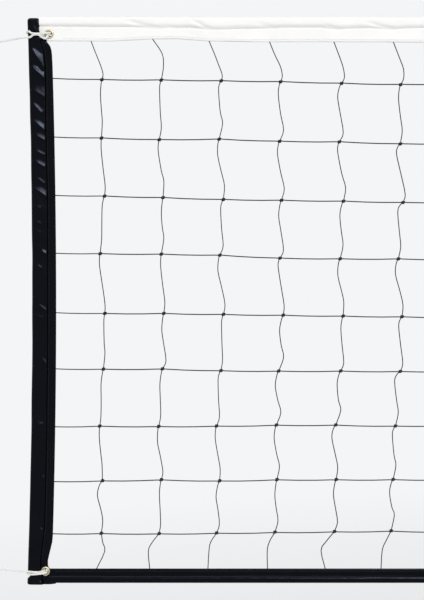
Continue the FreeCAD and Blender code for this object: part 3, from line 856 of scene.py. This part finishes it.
def makeNetting():
    columns, knots = netKnots()
    share = math.ceil((len(columns) - 1) / 3)
    radius, sides = netting["upright"] * mm / 2, netting["sides"]
    for part, name in enumerate(("net_left", "net_middle", "net_right")):
        first, last = part * share, min((part + 1) * share, len(columns) - 1)
        grids = []
        for number in range(first + (part > 0), last + 1):
            grids.append(tubeGrid(uprightLine(number, columns, knots), radius, sides))
        for row in range(len(knots)):
            grids.append(tubeGrid(*crossLine(row, first, last, columns, knots), sides))
        for edge in (topZ - netting["topTuck"] * mm, footZ + netting["footTuck"] * mm):
            ends = [(columns[number], 0, edge) for number in range(first, last + 1)]
            grids.append(tubeGrid(ends, radius, sides))
        piece = meshPiece(f"mesh_{name}", grids, meshTwine)
        standFor(piece, name)
        print(name, "with", len(piece.data.polygons), "faces")


makeNetting()


# Folded cloth. A place on a strip is given by its station along the strip, its span from the fold towards
# the lip, and how far the cloth stands off the middle there (half).
cloth = {
    "thick": 1.0,
    "lip": 0.8,  # thickness of the pressed lip, as a share
    "rim": 1.15,  # how far the cloth at least stands off the middle beside its fold
}


def foldedStrip(stations, span, halfAt, sizes, placeAt):
    # one closed ring of cloth at each station: the front from lip to fold, the back, and their insides
    outer, inner = [], []
    for side in (1.0, -1.0):
        half = halfAt(stations[:, None], span, side)
        half[:, 0] *= cloth["lip"]
        lining = np.maximum(half - cloth["thick"], sizes["gap"])
        half[:, -1] = lining[:, -1] = 0
        outer.append(half)
        inner.append(lining)
    inside = span + cloth["thick"] * np.exp(-(span / sizes["foldRun"]) ** 2)
    ringSpan = np.concatenate([span, span[:, -2::-1], inside, inside[:, -2::-1]], axis=1)
    ringHalf = np.concatenate([-outer[0], outer[1][:, -2::-1], inner[1], -inner[0][:, -2::-1]], axis=1)
    points = placeAt(stations[:, None], ringSpan, ringHalf)
    rows, columns = ringSpan.shape
    place = np.zeros((rows, columns + 1, 2))
    place[:, :, 0] = stations[:, None]
    place[:, :, 1] = np.linspace(0, 0.1, columns + 1)
    ends = []
    for start, flip in ((0, False), ((rows - 1) * columns, True)):
        for spot in range(columns // 2 - 1):
            face = [start + spot, start + spot + 1, start + columns - 2 - spot, start + columns - 1 - spot]
            ends.append(face[::-1] if flip else face)
    return (points, place), np.array(ends)


def stitches(name, rows, sizes, material):
    # rows of thread that dip into the cloth between stitches, each a line on the cloth and its outward side
    radius = sizes["thread"] * mm
    grids = []
    for line, outward in rows:
        line = resampled(line, sizes["stitch"] * mm / 3)
        lift = np.array([-0.5, 0.45, 0.45])[np.arange(len(line)) % 3] * radius
        grids.append(tubeGrid(line + lift[:, None] * outward, radius, 4))
    return meshPiece(name, grids, material)


def sewStrip(name, cadNode, thread, rope, strip, rows, sizes, length, colour="black", mirror=False,
             holes=()):
    # makes a strip of cloth and the thread that holds it folded round what lies inside
    grid, ends = strip
    threadName, threadNode = thread
    vinyl, fibre = (whiteVinyl, whiteThread) if colour == "white" else (blackVinyl, blackThread)
    piece = meshPiece(name, [grid], vinyl, mirror, ends, holes)
    standFor(piece, cadNode)
    sewn = stitches(threadName, rows, sizes, fibre)
    standFor(sewn, threadNode)
    print(name, "with", len(piece.data.polygons), "faces and", len(sewn.data.polygons), "of thread")


def alongFold(first, second, fold):
    # how far along a slanting fold a place lies, from 0 to 1, and how far beside it, positive above a
    # fold that falls to the right
    (fromFirst, fromSecond), (toFirst, toSecond) = fold
    run = math.hypot(toFirst - fromFirst, toSecond - fromSecond)
    stepFirst, stepSecond = (toFirst - fromFirst) / run, (toSecond - fromSecond) / run
    onward = ((first - fromFirst) * stepFirst + (second - fromSecond) * stepSecond) / run
    aside = (first - fromFirst) * stepSecond - (second - fromSecond) * stepFirst
    return onward, aside


# Bands. A rope's channel runs along the edge, sewn off beside it, then two flat layers hold the mesh.
bands = {
    "endRun": 0.027,  # metres, with the finest stations
    "endStep": 0.0015,
    "fineRun": 0.85,  # metres, with fine ones
    "rowStep": 0.002,  # metres between the points of a stitched row
}
headBand = {
    "start": 20.8,  # from the net's edge
    "steps": (0.0033, 0.0072),  # metres between stations near the ends and between them
    "rounds": 17,  # how many points lie across the channel, and where those below it lie
    "shares": (1, 0.97, 0.87, 0.76, 0.65, 0.54, 0.43, 0.32, 0.22, 0.14, 0.07, 0.03),
    "height": [(20.8, 36.8), (28, 38.2), (33, 41.0), (37, 42.4), (150, 42.7), (185, 41), (215, 39.2),
               (265, 39.0), (295, 41.2), (320, 43), (740, 45.4)],  # how tall it is, from the end inward
    "heightWave": (0.9, 9, 4.4, 2),  # a wave's height, how quick it is and where it starts
    "heightWaveFrom": (60, 400),  # how far from the ends it sets in and is full
    "seamDepth": [(22, 17), (176, 17.5), (222, 18.7), (287, 18.7), (317, 21.5), (357, 21.5), (393, 20.6),
                  (418, 20), (455, 18.4), (517, 18), (544, 21.5), (570, 20), (602, 19), (646, 21.5),
                  (667, 20), (700, 18.8)],  # how deep the rope's channel is
    "seamWave": (1.6, 6, 3.1, 0),  # the same for the seam
    "seamWaveFrom": (600, 900),
    "seamRipple": (0.5, 25, 9.2, 0),  # a smaller wave, all along
    "bulge": 5.9,
    "roundShare": 0.30,  # where the channel is fullest
    "fullShare": 0.66,  # and how far it stays full
    "flat": 2.4,
    "gap": 0.05,  # how far the lining stays off the middle
    "foldRun": 3.0,  # how far from the fold the lining lies farther in
    "seam": 1.05,
    "seamWide": 1.4,  # how wide the sewn hollow is
    "swell": (0.10, 17, 5.0, 1),  # a wave's height, how quick it is and where it starts on each face
    "ripple": (0.07, 60, 0.08, 3.0),  # height, how quick along and down, and the step between the faces
    "waves": (0.5, 21, 0.03, 7.0),  # the same, in millimetres, on the flat layers
    "wavesFrom": 6,  # how far below the seam they are full
    "rowInset": 4.0,
    "rowGap": 0.3,
    "rowStart": 0.062,  # metres
    "stitch": 6.0,
    "thread": 0.45,
    "cut": 101.0,  # width of the strip before it was folded
    "eyelet": (38.3, 30.7),
    "eyeletHole": 6.2,
    "creases": [  # from, to, width and depth of each slanting crease
        ((176, 8), (230, 20), 3.0, 2.3), ((292, 7), (322, 22), 2.6, 2.7), ((524, 14), (548, 22), 2.6, 2.0),
        ((602, 11), (645, 22), 2.6, 2.4), ((236, 14), (262, 19), 2.4, 1.1), ((405, 12), (436, 19), 2.6, 1.3),
    ],
    "moreCreases": {  # scattered over the rest of its length
        "count": 46, "from": 720, "endClear": 100, "slant": (18, 34), "top": (7, 14), "foot": (18, 21),
        "width": 2.8, "depth": (1.0, 2.5),
    },
    "creaseIn": (-0.2, 0.3),  # between which shares of its run a crease sets in
    "creaseOut": (0.85, 1.2),  # and ends
    "creaseClear": 20,  # how far before and after a crease nothing of it is left
    "backShift": 37,  # how much farther right the creases lie on the back
}
footBand = {
    "start": 37.5,
    "steps": (0.0040, 0.0085),
    "rounds": 12,
    "shares": (1, 0.96, 0.75, 0.5, 0.25, 0.08),
    "height": 25.2,
    "channel": 12.8,
    "seamWave": (0.4, 9, 5.0),  # its height, how quick it is and where it starts
    "bulge": 4.5,
    "roundShare": 0.36,
    "fullShare": 0.45,
    "flat": 2.6,
    "gap": 0.05,
    "foldRun": 3.0,
    "seam": 1.5,
    "seamWide": 1.2,
    "swell": (0.08, 19, 4.0, 2),
    "ripple": (0.05, 70, 0.1, 1),
    "waves": (0.3, 24, 0.05, 2.0),
    "wavesFrom": 4,
    "rowInset": 4.0,
    "rowStart": 0.050,
    "stitch": 6.0,
    "thread": 0.42,
    "cut": 57.0,
}


def channelShape(share, band):
    # half thickness of a rope's channel from its fold to its seam: round, then drawn in softly
    rounded = band["bulge"] * np.sqrt(np.clip(1 - (1 - share / band["roundShare"]) ** 2, 0, 1))
    fall = np.clip((share - band["fullShare"]) / (1 - band["fullShare"]), 0, 1)
    drawn = band["seam"] + (band["bulge"] - band["seam"]) * (1 - fall ** 2.4)
    return np.where(share < band["roundShare"], rounded, drawn)


def bandHalf(band, x, span, side, seam):
    # how far the cloth stands off the middle, in millimetres, at a place along and across a band
    swell, quick, apart, origin = band["swell"]
    soft = 1 + swell * noiseAt(x * quick, side * apart, origin)
    ripple, quick, down, apart = band["ripple"]
    soft = soft + ripple * noiseAt(x * quick, span * down, side * apart)
    channel = channelShape(np.clip(span / seam, 0, 1), band) * soft
    flat = band["flat"] - (band["flat"] - band["seam"]) * np.exp(-((span - seam) / band["seamWide"]) ** 2)
    waves, quick, down, apart = band["waves"]
    flat = flat + waves * noiseAt(x * quick, span * down, side * apart) * smoothstep(
        0, band["wavesFrom"], span - seam)
    return np.where(span < seam, np.maximum(channel, band["seam"] * smoothstep(0, 2, span)), flat)


def overRim(lift, span):
    return np.maximum(lift, cloth["rim"] * smoothstep(0, 1.0, span))


def fromEnd(x):
    # millimetres from the nearer end of the net
    return np.minimum(x - edgeX, farX - x) / mm


def headHeight(x):
    wave = waveAt(x, *headBand["heightWave"]) * smoothstep(*headBand["heightWaveFrom"], fromEnd(x))
    return readOff(headBand["height"], fromEnd(x)) + wave


def headSeam(x):
    wander = waveAt(x, *headBand["seamWave"]) * smoothstep(*headBand["seamWaveFrom"], fromEnd(x))
    wander += waveAt(x, *headBand["seamRipple"])
    return readOff(headBand["seamDepth"], fromEnd(x)) + wander


def bandCreases():
    creases = list(headBand["creases"])
    more = headBand["moreCreases"]
    spots = np.sort(rng.uniform(more["from"], (farX - edgeX) / mm - more["endClear"], more["count"]))
    for spot, slant in zip(spots, rng.uniform(*more["slant"], len(spots))):
        start = (spot, rng.uniform(*more["top"]))
        end = (spot + slant, rng.uniform(*more["foot"]))
        creases.append((start, end, more["width"], rng.uniform(*more["depth"])))
    return creases


creasesOfBand = bandCreases()


def headHalf(x, span, side):
    lift = bandHalf(headBand, x, span, side, headSeam(x))
    inset = (x - edgeX) / mm
    place = inset if side > 0 else inset - headBand["backShift"]
    clear = headBand["creaseClear"]
    for first, last, wide, deep in creasesOfBand:
        if inset.min() < last[0] + clear and inset.max() > first[0] - clear:
            onward, aside = alongFold(place, span, (first, last))
            ends = smoothstep(*headBand["creaseIn"], onward)
            ends *= 1 - smoothstep(*headBand["creaseOut"], onward)
            lift = lift - deep * np.exp(-(aside / wide) ** 2) * ends
    return overRim(lift, span)


def footHeight(x):
    return np.full_like(x, footBand["height"])


def footSeam(x):
    return np.full_like(x, footBand["channel"])


def footHalf(x, span, side):
    seam = footBand["channel"] + waveAt(x, *footBand["seamWave"], side)
    return overRim(bandHalf(footBand, x, span, side, seam), span)


def stationsAlong(start, end, fine, coarse):
    run = bands["fineRun"]
    finest = np.arange(0, bands["endRun"], bands["endStep"])
    near = np.concatenate([finest, np.arange(bands["endRun"], run, fine)])
    middle = np.linspace(run, end - start - run, int((end - start - 2 * run) / coarse))
    return start + np.concatenate([near, middle, (end - start) - near[::-1]])


def makeBand(name, cadNode, band, edgeZ, way, heightAt, seamAt, halfAt, rowsAt, **sewing):
    # way is down or up from the band's outer edge, and rowsAt says how far from it the stitched rows run
    start = edgeX + band["start"] * mm
    end = farX - band["start"] * mm
    x = stationsAlong(start, end, *band["steps"])
    height, seam = heightAt(x)[:, None], seamAt(x)[:, None]
    rounds = (1 - np.cos(np.linspace(math.pi, 0, band["rounds"]))) / 2
    span = np.concatenate([seam + (height - seam) * np.array(band["shares"]), seam * rounds], axis=1)

    def placeAt(station, span, half):
        return np.stack([np.broadcast_to(station, span.shape), half * mm, edgeZ + way * span * mm], axis=-1)

    strip = foldedStrip(x, span, halfAt, band, placeAt)
    line = np.arange(edgeX + band["rowStart"], farX - band["rowStart"], bands["rowStep"])
    rows = []
    for side in (1.0, -1.0):
        for reach in rowsAt(line):
            rows.append((placeAt(line, reach, -side * halfAt(line, reach, side)), np.array([0, -side, 0])))
    sewStrip(f"{name}_band", cadNode, (f"{name}_stitching", f"{cadNode}_stitching"), f"{name}_rope", strip,
             rows, band, end - start, **sewing)


def headRows(x):
    return headSeam(x) + headBand["rowGap"], headHeight(x) - headBand["rowInset"]


def footRows(x):
    return [footHeight(x) - footBand["rowInset"]]


def headHoles():
    inset, depth = headBand["eyelet"]
    radius = headBand["eyeletHole"] * mm
    return [(x, topZ - depth * mm, radius) for x in (edgeX + inset * mm, farX - inset * mm)]


makeBand("head", "top_band", headBand, topZ, -1, headHeight, headSeam, headHalf, headRows,
         colour="white", holes=headHoles())
makeBand("foot", "bottom_band", footBand, footZ, 1, footHeight, footSeam, footHalf, footRows)


# Side sleeve: a puffy pocket, a seam and a flat margin. Places are in millimetres from the net's edge and
# down from the head band's top edge.
sleeve = {
    "pocket": [(0, 20.4), (38, 20.8), (62, 28.2), (90, 30.2), (120, 30.0), (200, 27.8), (320, 29.2),
               (420, 28.2), (900, 28.2), (960, 23.2), (988, 23.4), (996, 28),
               (1002, 29)],  # its width going down
    "bow": 8.8,
    "drop": 2.0,
    "length": 1000.0,
    "outset": 0.6,  # how far it stands outside the net's edge
    "seam": 1.5,  # how far beyond the pocket it is sewn
    "seamHalf": 1.9,
    "seamWide": 1.6,
    "drawn": (0.93, 0.07, 1.6),  # at what share across it draws in to the seam, over how much, how roundly
    "edgeWave": (0.5, 0.02, 7.7, 0),  # a wave's height, how quick it is and where it starts
    "margin": 41.4,
    "leastMargin": 0.6,  # beyond the pocket
    "flat": 2.2,
    "flatWave": (0.22, 0.03, 0.05, 8.0),  # height, how quick along and across, the step between the faces
    "gap": 0.06,
    "foldRun": 2.5,
    "tongue": 1.05,
    "tongueFrom": (2.5, 5.0),  # between how far below the top it comes out of the pocket
    "tongueLeast": 0.04,  # what there is of it at the top, as a share
    "tongueTo": 39.5,
    "closing": (5.0, 0.16),  # how far down the top is rounded, and how thick it is there, as a share
    "eyelet": (31.6, 978.9),
    "eyeletHole": 6.2,
    "puff": [(2, 5.5), (12, 6.8), (20, 7.3), (27, 7.1), (33, 7.1), (40, 7.7), (48, 7.4), (62, 6.7), (85, 6.2),
             (950, 6.2), (968, 7.1), (979, 7.2), (986, 7.1), (994, 6.6), (1002, 6.0)],  # half its thickness
    "puffWave": (0.07, 0.025, 3.0, 4),  # how much it varies, how quickly, the faces' step and its start
    "square": (5, 2.1),  # how square the pocket's left half is
    "pull": [(0, -10), (38, -10), (44.5, -8.2), (48, -5.4), (52, -2.9), (58, -1.3), (65, -0.5), (90, 0),
             (905, 0.5), (918, 0.4), (928, -0.3), (939, -2.6), (949.5, -4.9), (960, -6.9), (969, -6.6),
             (973, -5), (978, 1), (996, 1.2), (999, 8), (1000.6, 9), (1001.4, 5),
             (1002, -2)],  # how its inner edge is drawn in or out
    "cinches": ((27.3, 0.6, 3.2), (986.0, 5.0, 3.4)),  # where, how deep and how far the cord draws it in
    "shares": (1, 0.97, 0.86, 0.72, 0.58, 0.44, 0.31, 0.2, 0.1),  # places of the points across the margin
    "seamGap": 0.3,  # from the pocket to the first of them
    "rounds": (0.12, 25),  # the angle where the points across the pocket start, and how many there are
    "step": 1.8,  # between stations
    "topRun": (8, 9),  # how long the closed top with closer ones is, and how many it has
    "footRun": (10, 10),  # the same at the foot
    "topRound": 5.0,  # how the upper corner is rounded
    "topDraw": 1.6,  # how much more of that the fold takes than the seam
    "footRound": (2.5, 3.0),  # and the lower one, across and down
    "rows": (48, 960, 1.5),  # the stitched row: from, to and the step between its points
    "stitch": 4.5,
    "thread": 0.42,
    "cut": 96.0,  # width of the strip before it was folded
    "crumple": [  # height, how quick it is across and along, the step between the faces and its start
        (0.7, 0.07, 0.03, 6.0, 0), (0.15, 0.17, 0.06, 2.0, 9),
    ],
    "crumpleFade": [(0, 0.7), (60, 1.1), (330, 1.0), (480, 0.7), (1000, 0.5)],  # how strong it is going down
    "flank": (0.17, 0.167, 0.226),  # a fold's lean to the right, up, and how that grows
    "crown": (0.06, 0.45, 0.95, 0.55),  # how the pocket leans, between which shares across, and round which
    "backShift": 22,  # how much lower the folds lie on the back
    "folds": [  # from, to, height and tilt of each slanting fold
        ((8, 6), (14, 28), 0.3, 1), ((8.9, 57.0), (28.5, 92), 2.5, 1), ((7.8, 89.5), (34, 112.5), 2.1, 1),
        ((9, 130), (34, 144.5), 2.6, 0.82), ((9.5, 153), (25, 172), 1.6, 0.9),
        ((9.5, 184), (34, 203), 2.1, 1), ((10, 209.5), (34, 220), 1.9, 0.86),
        ((13, 238), (32, 245.5), 1.5, 0.88), ((11, 255), (32, 267), 2.2, 1), ((11, 303), (38, 320.5), 2.4, 1),
        ((12, 333), (24, 340.5), 1.5, 0.88), ((12, 360), (25, 367.5), 1.3, 0.88),
        ((25, 414), (38, 423), 1.6, 0.85), ((16, 438), (26, 446), 1.3, 0.86),
        ((20, 508), (34.5, 521), 1.3, 0.85), ((14.5, 526), (28, 533), 0.9, 0.78),
        ((23, 597), (34, 617), 1.3, 0.85), ((19, 724), (33, 715), 1.5, 1), ((26, 806), (28.5, 818), 1.5, 1),
        ((21, 899), (25.5, 909), 1.5, 1), ((4, 942), (24, 928), 0.5, 0.7), ((12, 999.0), (34, 998.2), 3.0, 1),
    ],
    "foldsIn": (0.02, 0.14),  # between which shares across the folds set in
    "foldsOut": (0.95, 1.0),  # and end
    "moreFolds": {  # faint ones between them, wherever one of the places tried is clear above and below
        "tried": 60, "between": (60, 930), "inset": (7, 19), "reach": (9, 17), "slope": (0.35, 0.8),
        "clear": (5, 4), "height": (0.9, 1.6), "fade": [(60, 1), (330, 0.8), (520, 0.5)], "tilt": (0.78, 0.9),
    },
    "marginFolds": [((25, 43), (36, 51), 0.9, 1), ((37, 48), (43, 60), 1.2, 1)],
}
foldFace = {
    "steep": 1.12,  # how steep a fold's upper face is at the ridge, as a share of its lean
    "easing": 0.31,  # how much it flattens down to its foot
    "beyond": 0.5,  # and how steep it goes on from there
    "under": 0.6,  # how steep the lower face is
    "climb": 0.6,  # how much the ridge follows the lean along it
    "startShare": 0.68,  # how high it is where it starts, as a share
    "grown": (-0.1, 0.5),  # between which shares of its run it grows to its height
    "foldIn": (-0.12, 0.06),  # between which it sets in
    "foldOut": (0.94, 1.12),  # and ends
    "most": 1.5,  # how high it may get, as a share
}


def sleeveBow(depth):
    share = (depth - sleeve["drop"] - sleeve["length"] / 2) / (sleeve["length"] / 2)
    return sleeve["bow"] * (1 - share ** 2)


def sleeveMargin(depth):
    # how far the flat margin reaches, from the net's edge
    return sleeve["margin"] + sleeveBow(depth) + readOff(sleeve["pull"], depth)


def pocketWidth(depth):
    return readOff(sleeve["pocket"], depth)


def pocketFolds():
    folds = list(sleeve["folds"])
    more = sleeve["moreFolds"]
    below, above = more["clear"]
    for spot in np.sort(rng.uniform(*more["between"], more["tried"])):
        inset, reach, slope = (rng.uniform(*more[size]) for size in ("inset", "reach", "slope"))
        low = spot + slope * reach
        if all(low < first[1] - below or spot > last[1] + above for first, last, *_ in folds):
            high = rng.uniform(*more["height"]) * readOff(more["fade"], spot)
            folds.append(((inset, spot), (inset + reach, low), high, rng.uniform(*more["tilt"])))
    return folds


foldsOfPocket = pocketFolds()


def foldShape(depth, across, side, fold):
    # a ridge from one place to another whose upper right face is broad, so that it catches the light
    first, last, high, tilt = fold
    run = math.hypot(last[0] - first[0], last[1] - first[1])
    stepAcross, stepDown = (last[0] - first[0]) / run, (last[1] - first[1]) / run
    down = depth if side > 0 else depth - sleeve["backShift"]
    onward, aside = alongFold(across + sleeveBow(depth), down, (first, last))
    toRight, toTop, growth = sleeve["flank"]
    toRight, toTop = tilt * toRight, tilt * (toTop + growth * first[1] / 1000)
    lean = toRight * stepDown + toTop * stepAcross
    climb = foldFace["climb"] * (toTop * stepDown - toRight * stepAcross) * run * (onward - 0.5)
    steep, easing = foldFace["steep"], foldFace["easing"]
    wide = high / ((steep - easing) * lean)
    near = np.clip(aside, 0, wide)
    beyond = foldFace["beyond"] * np.maximum(aside - wide, 0)
    fallen = lean * (steep * near - easing * near ** 2 / wide + beyond)
    start = foldFace["startShare"]
    tall = high * (start + (1 - start) * smoothstep(*foldFace["grown"], onward))
    shape = np.minimum(tall - fallen + climb, tall + foldFace["under"] * aside)
    shape = np.clip(shape, 0, foldFace["most"] * high)
    return shape * smoothstep(*foldFace["foldIn"], onward) * (1 - smoothstep(*foldFace["foldOut"], onward))


def pocketHalf(depth, across, side, share):
    # the pocket's puff, full to the left, drawn in to the seam at the right, crumpled and folded
    seam = sleeve["seamHalf"]
    varies, quick, apart, origin = sleeve["puffWave"]
    puff = readOff(sleeve["puff"], depth) * (1 + waveAt(depth, varies, quick, side * apart, origin))
    square, softened = sleeve["square"]
    rounded = puff * np.clip(1 - np.abs(2 * share - 1) ** square, 0, 1) ** (1 / softened)
    begin, over, power = sleeve["drawn"]
    fall = np.clip((share - begin) / over, 0, 1)
    half = np.where(share < 0.5, rounded, seam + (puff - seam) * (1 - fall ** power))
    beside, onward = (depth - across) * 0.7, (depth + across) * 0.7
    crumple = sum(high * noiseAt(beside * quick, onward * slow, side * apart + origin)
                  for high, quick, slow, apart, origin in sleeve["crumple"])
    half = half + crumple * readOff(sleeve["crumpleFade"], depth) * np.sin(np.pi * share) ** 0.5
    lean, least, most, middle = sleeve["crown"]
    half = half - lean * pocketWidth(depth) * (np.clip(share, least, most) - middle)
    ends = smoothstep(*sleeve["foldsIn"], share), 1 - smoothstep(*sleeve["foldsOut"], share)
    for fold in foldsOfPocket:
        half = half + foldShape(depth, across, side, fold) * ends[0] * ends[1]
    return np.maximum(half, seam * smoothstep(0, 1.5, across))


def sleeveHalf(depth, across, side):
    # how far the cloth stands off the middle; across is measured from the sleeve's own outer edge
    width = pocketWidth(depth)
    share = np.clip(across / width, 0, 1)
    pocket = pocketHalf(depth, across, side, share)
    high, quick, slow, apart = sleeve["flatWave"]
    flat = sleeve["flat"] + waveAt(depth, high, quick, across * slow, side * apart)
    flat = np.where(depth < sleeve["tongueTo"], sleeve["tongue"], flat)
    for fold in sleeve["marginFolds"]:
        flat = flat + foldShape(depth, across, side, fold)
    beyond = (across - width - sleeve["seam"]) / sleeve["seamWide"]
    margin = flat - (flat - np.minimum(sleeve["seamHalf"], flat)) * np.exp(-beyond ** 2)
    run, least = sleeve["closing"]
    closing = 1 - np.clip((depth - sleeve["drop"]) / run, 0, 1)
    half = np.where(across < width, pocket, margin)
    return np.maximum(half * (least + (1 - least) * np.sqrt(1 - closing ** 2)), 0)


def quarterRound(reach, down, run):
    # how far a corner rounded over a given run draws the cloth in
    return reach * (1 - np.sqrt(np.clip(1 - (1 - np.clip(down / run, 0, 1)) ** 2, 0, 1)))[:, None]


def makeSleeve(side):
    low = sleeve["drop"]
    high = sleeve["drop"] + sleeve["length"]
    topRun, topCount = sleeve["topRun"]
    footRun, footCount = sleeve["footRun"]
    depth = np.concatenate([low + topRun * (1 - np.cos(np.linspace(0, math.pi / 2, topCount)))[:-1],
                            np.arange(low + topRun, high - footRun, sleeve["step"]),
                            high - footRun + footRun * np.sin(np.linspace(0, math.pi / 2, footCount))])
    cinch = sum(deep * np.exp(-((depth - where) / wide) ** 2) for where, deep, wide in sleeve["cinches"])
    edge = sleeveBow(depth) - sleeve["outset"] + waveAt(depth, *sleeve["edgeWave"]) + cinch
    width = pocketWidth(depth)
    lip = np.maximum(sleeveMargin(depth) - edge, width + sleeve["leastMargin"])
    edge, width, lip = edge[:, None], width[:, None], lip[:, None]
    topRound = quarterRound(sleeve["topRound"], depth - low, sleeve["topRound"])
    footRound = quarterRound(sleeve["footRound"][0], high - depth, sleeve["footRound"][1])
    hidden, out = sleeve["tongueFrom"]
    least = sleeve["tongueLeast"]
    tongue = least + (1 - least) * smoothstep(low + hidden, low + out, depth)[:, None]
    firstAngle, points = sleeve["rounds"]
    seam = width + sleeve["seamGap"]
    across = np.concatenate([
        seam + (lip - width - sleeve["seamGap"]) * np.array(sleeve["shares"]),
        seam,
        width * (1 + np.cos(np.linspace(firstAngle, math.pi, points))) / 2,
    ], axis=1)

    def placeAt(station, span, half):
        inPocket = np.minimum(span / width, 1)
        drawn = topRound * (1 - sleeve["topDraw"] * inPocket) + footRound * (1 - inPocket)
        beyond = np.maximum(span - width, 0) * tongue
        x = edgeX + (edge + np.minimum(span, width) + beyond + drawn) * mm
        return np.stack([x, half * mm, np.broadcast_to(topZ - station * mm, span.shape)], axis=-1)

    strip = foldedStrip(depth, across, sleeveHalf, sleeve, placeAt)
    right = side == "right"
    inset, down = sleeve["eyelet"]
    eyeletX = farX - inset * mm if right else edgeX + inset * mm
    rows = []
    row = np.arange(*sleeve["rows"])
    reach = pocketWidth(row) + sleeve["seam"]
    x = edgeX + (sleeveBow(row) - sleeve["outset"] + reach) * mm
    for face in (1.0, -1.0):
        line = np.stack([x, -face * sleeveHalf(row, reach, face) * mm, topZ - row * mm], axis=1)
        rows.append((flipped(line) if right else line, np.array([0, -face, 0])))
    sewStrip(f"sleeve_{side}", f"side_sleeve_{side}", (f"sleeve_thread_{side}", f"sleeve_stitching_{side}"),
             f"side_rod_{side}", strip, rows, sleeve, sleeve["length"] * mm, mirror=right,
             holes=[(eyeletX, topZ - down * mm, sleeve["eyeletHole"] * mm)])


makeSleeve("left")
makeSleeve("right")


# Ropes inside the bands, each laid of three strands.
ropes = {
    "strandShare": 0.46,  # a strand's radius, as a share of the rope's
    "step": 0.0032,  # metres
    "lay": {"head_rope": 30.0, "foot_rope": 24.0},
}


def makeRope(name, lay):
    low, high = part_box(name)
    radius = (high.z - low.z) / 2
    strand = ropes["strandShare"] * radius
    out = radius - strand
    x = np.arange(low.x, high.x, ropes["step"])
    grids = []
    for number in range(3):
        angle = 2 * math.pi * (x / (lay * mm) + number / 3)
        path = np.stack([x, out * np.cos(angle), (low.z + high.z) / 2 + out * np.sin(angle)], axis=1)
        grids.append(tubeGrid(path, strand, 6))
    standFor(meshPiece(f"laid_{name}", grids, ropeFibre), name)


for name, lay in ropes["lay"].items():
    makeRope(name, lay)
print("ropes laid")


# Rigid pieces of the frame keep their shape and get their finish.
rigid = {"eyelet": eyeletBrass, "washer": eyeletBrass, "side_rod": glassFibre, "rod_caps": capRubber}
for name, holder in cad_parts.items():
    for start, material in rigid.items():
        if name.startswith(start):
            for slot in holder.material_slots:
                slot.material = material


# Stage: a plain pale floor where a court would be, soft light and a pale world.
stage = {
    "background": (0.905, 0.912, 0.925, 1),
    "floorDrop": 2.43,  # metres from the net's top edge to the floor
    "floorHalf": 200.0,  # metres
    "floor": {"Base Color": (0.875, 0.88, 0.89, 1), "Roughness": 0.9, "Specular IOR Level": 0.1},
    "world": {"Color": (1, 1, 1, 1), "Strength": 0.46},
    "suns": {  # where each comes from, its strength and its width in degrees
        "key": ((0.24, -0.83, 0.51), 0.75, 26.0),
        "core": ((0.24, -0.83, 0.51), 0.85, 12.5),
        "above": ((-0.12, -0.30, 0.95), 0.50, 30.0),
        "behind": ((-0.50, 0.75, 0.45), 0.35, 30.0),
    },
    "fade": (7.0, 12.0),  # metres from the net between which the floor melts into the background
}


def makeSun(name, source, strength, angle):
    data = bpy.data.lights.new(name, "SUN")
    data.energy = strength
    data.angle = math.radians(angle)
    holder = linked(name, data)
    holder.rotation_mode = "QUATERNION"
    holder.rotation_quaternion = Vector(source).to_track_quat("Z", "Y")


def meltIn(tree, share, shown, backdrop, output):
    # shows the backdrop for a share of what is seen straight, mirrored or through glass
    rays = node(tree, "ShaderNodeLightPath").outputs
    through = sums(tree, "MAXIMUM", rays["Is Glossy Ray"], rays["Is Transmission Ray"])
    seen = sums(tree, "MAXIMUM", rays["Is Camera Ray"], through)
    melt = node(tree, "ShaderNodeMixShader")
    wire(tree, seen if share is None else sums(tree, "MULTIPLY", share, seen), melt.inputs[0])
    wire(tree, shown.outputs[0], melt.inputs[1])
    wire(tree, backdrop.outputs[0], melt.inputs[2])
    wire(tree, melt.outputs[0], output.inputs["Surface"])
    backdrop.inputs["Color"].default_value = stage["background"]


def makeFloor():
    half = stage["floorHalf"]
    z = topZ - stage["floorDrop"]
    mesh = bpy.data.meshes.new("floor")
    corners = ((-half, -half), (half, -half), (half, half), (-half, half))
    mesh.from_pydata([(x, y, z) for x, y in corners], [], [(0, 1, 2, 3)])
    floor = linked("floor", mesh)
    material, tree, shader = newMaterial("paleFloor")
    setInputs(shader, stage["floor"])
    spot = node(tree, "ShaderNodeVectorMath", operation="DISTANCE")
    spot.inputs[1].default_value = (mirrorX, 0, z)
    wire(tree, node(tree, "ShaderNodeNewGeometry").outputs["Position"], spot.inputs[0])
    far = spread(tree, spot.outputs["Value"], *stage["fade"])
    meltIn(tree, far, shader, node(tree, "ShaderNodeEmission"), tree.nodes["Material Output"])
    mesh.materials.append(material)


def makeWorld():
    world = bpy.data.worlds.new("studio")
    world.use_nodes = True
    tree = world.node_tree
    lit = tree.nodes["Background"]
    setInputs(lit, stage["world"])
    meltIn(tree, None, lit, node(tree, "ShaderNodeBackground"), tree.nodes["World Output"])
    bpy.context.scene.world = world


makeFloor()
makeWorld()
for name, sun in stage["suns"].items():
    makeSun(name, *sun)
print("stage set")
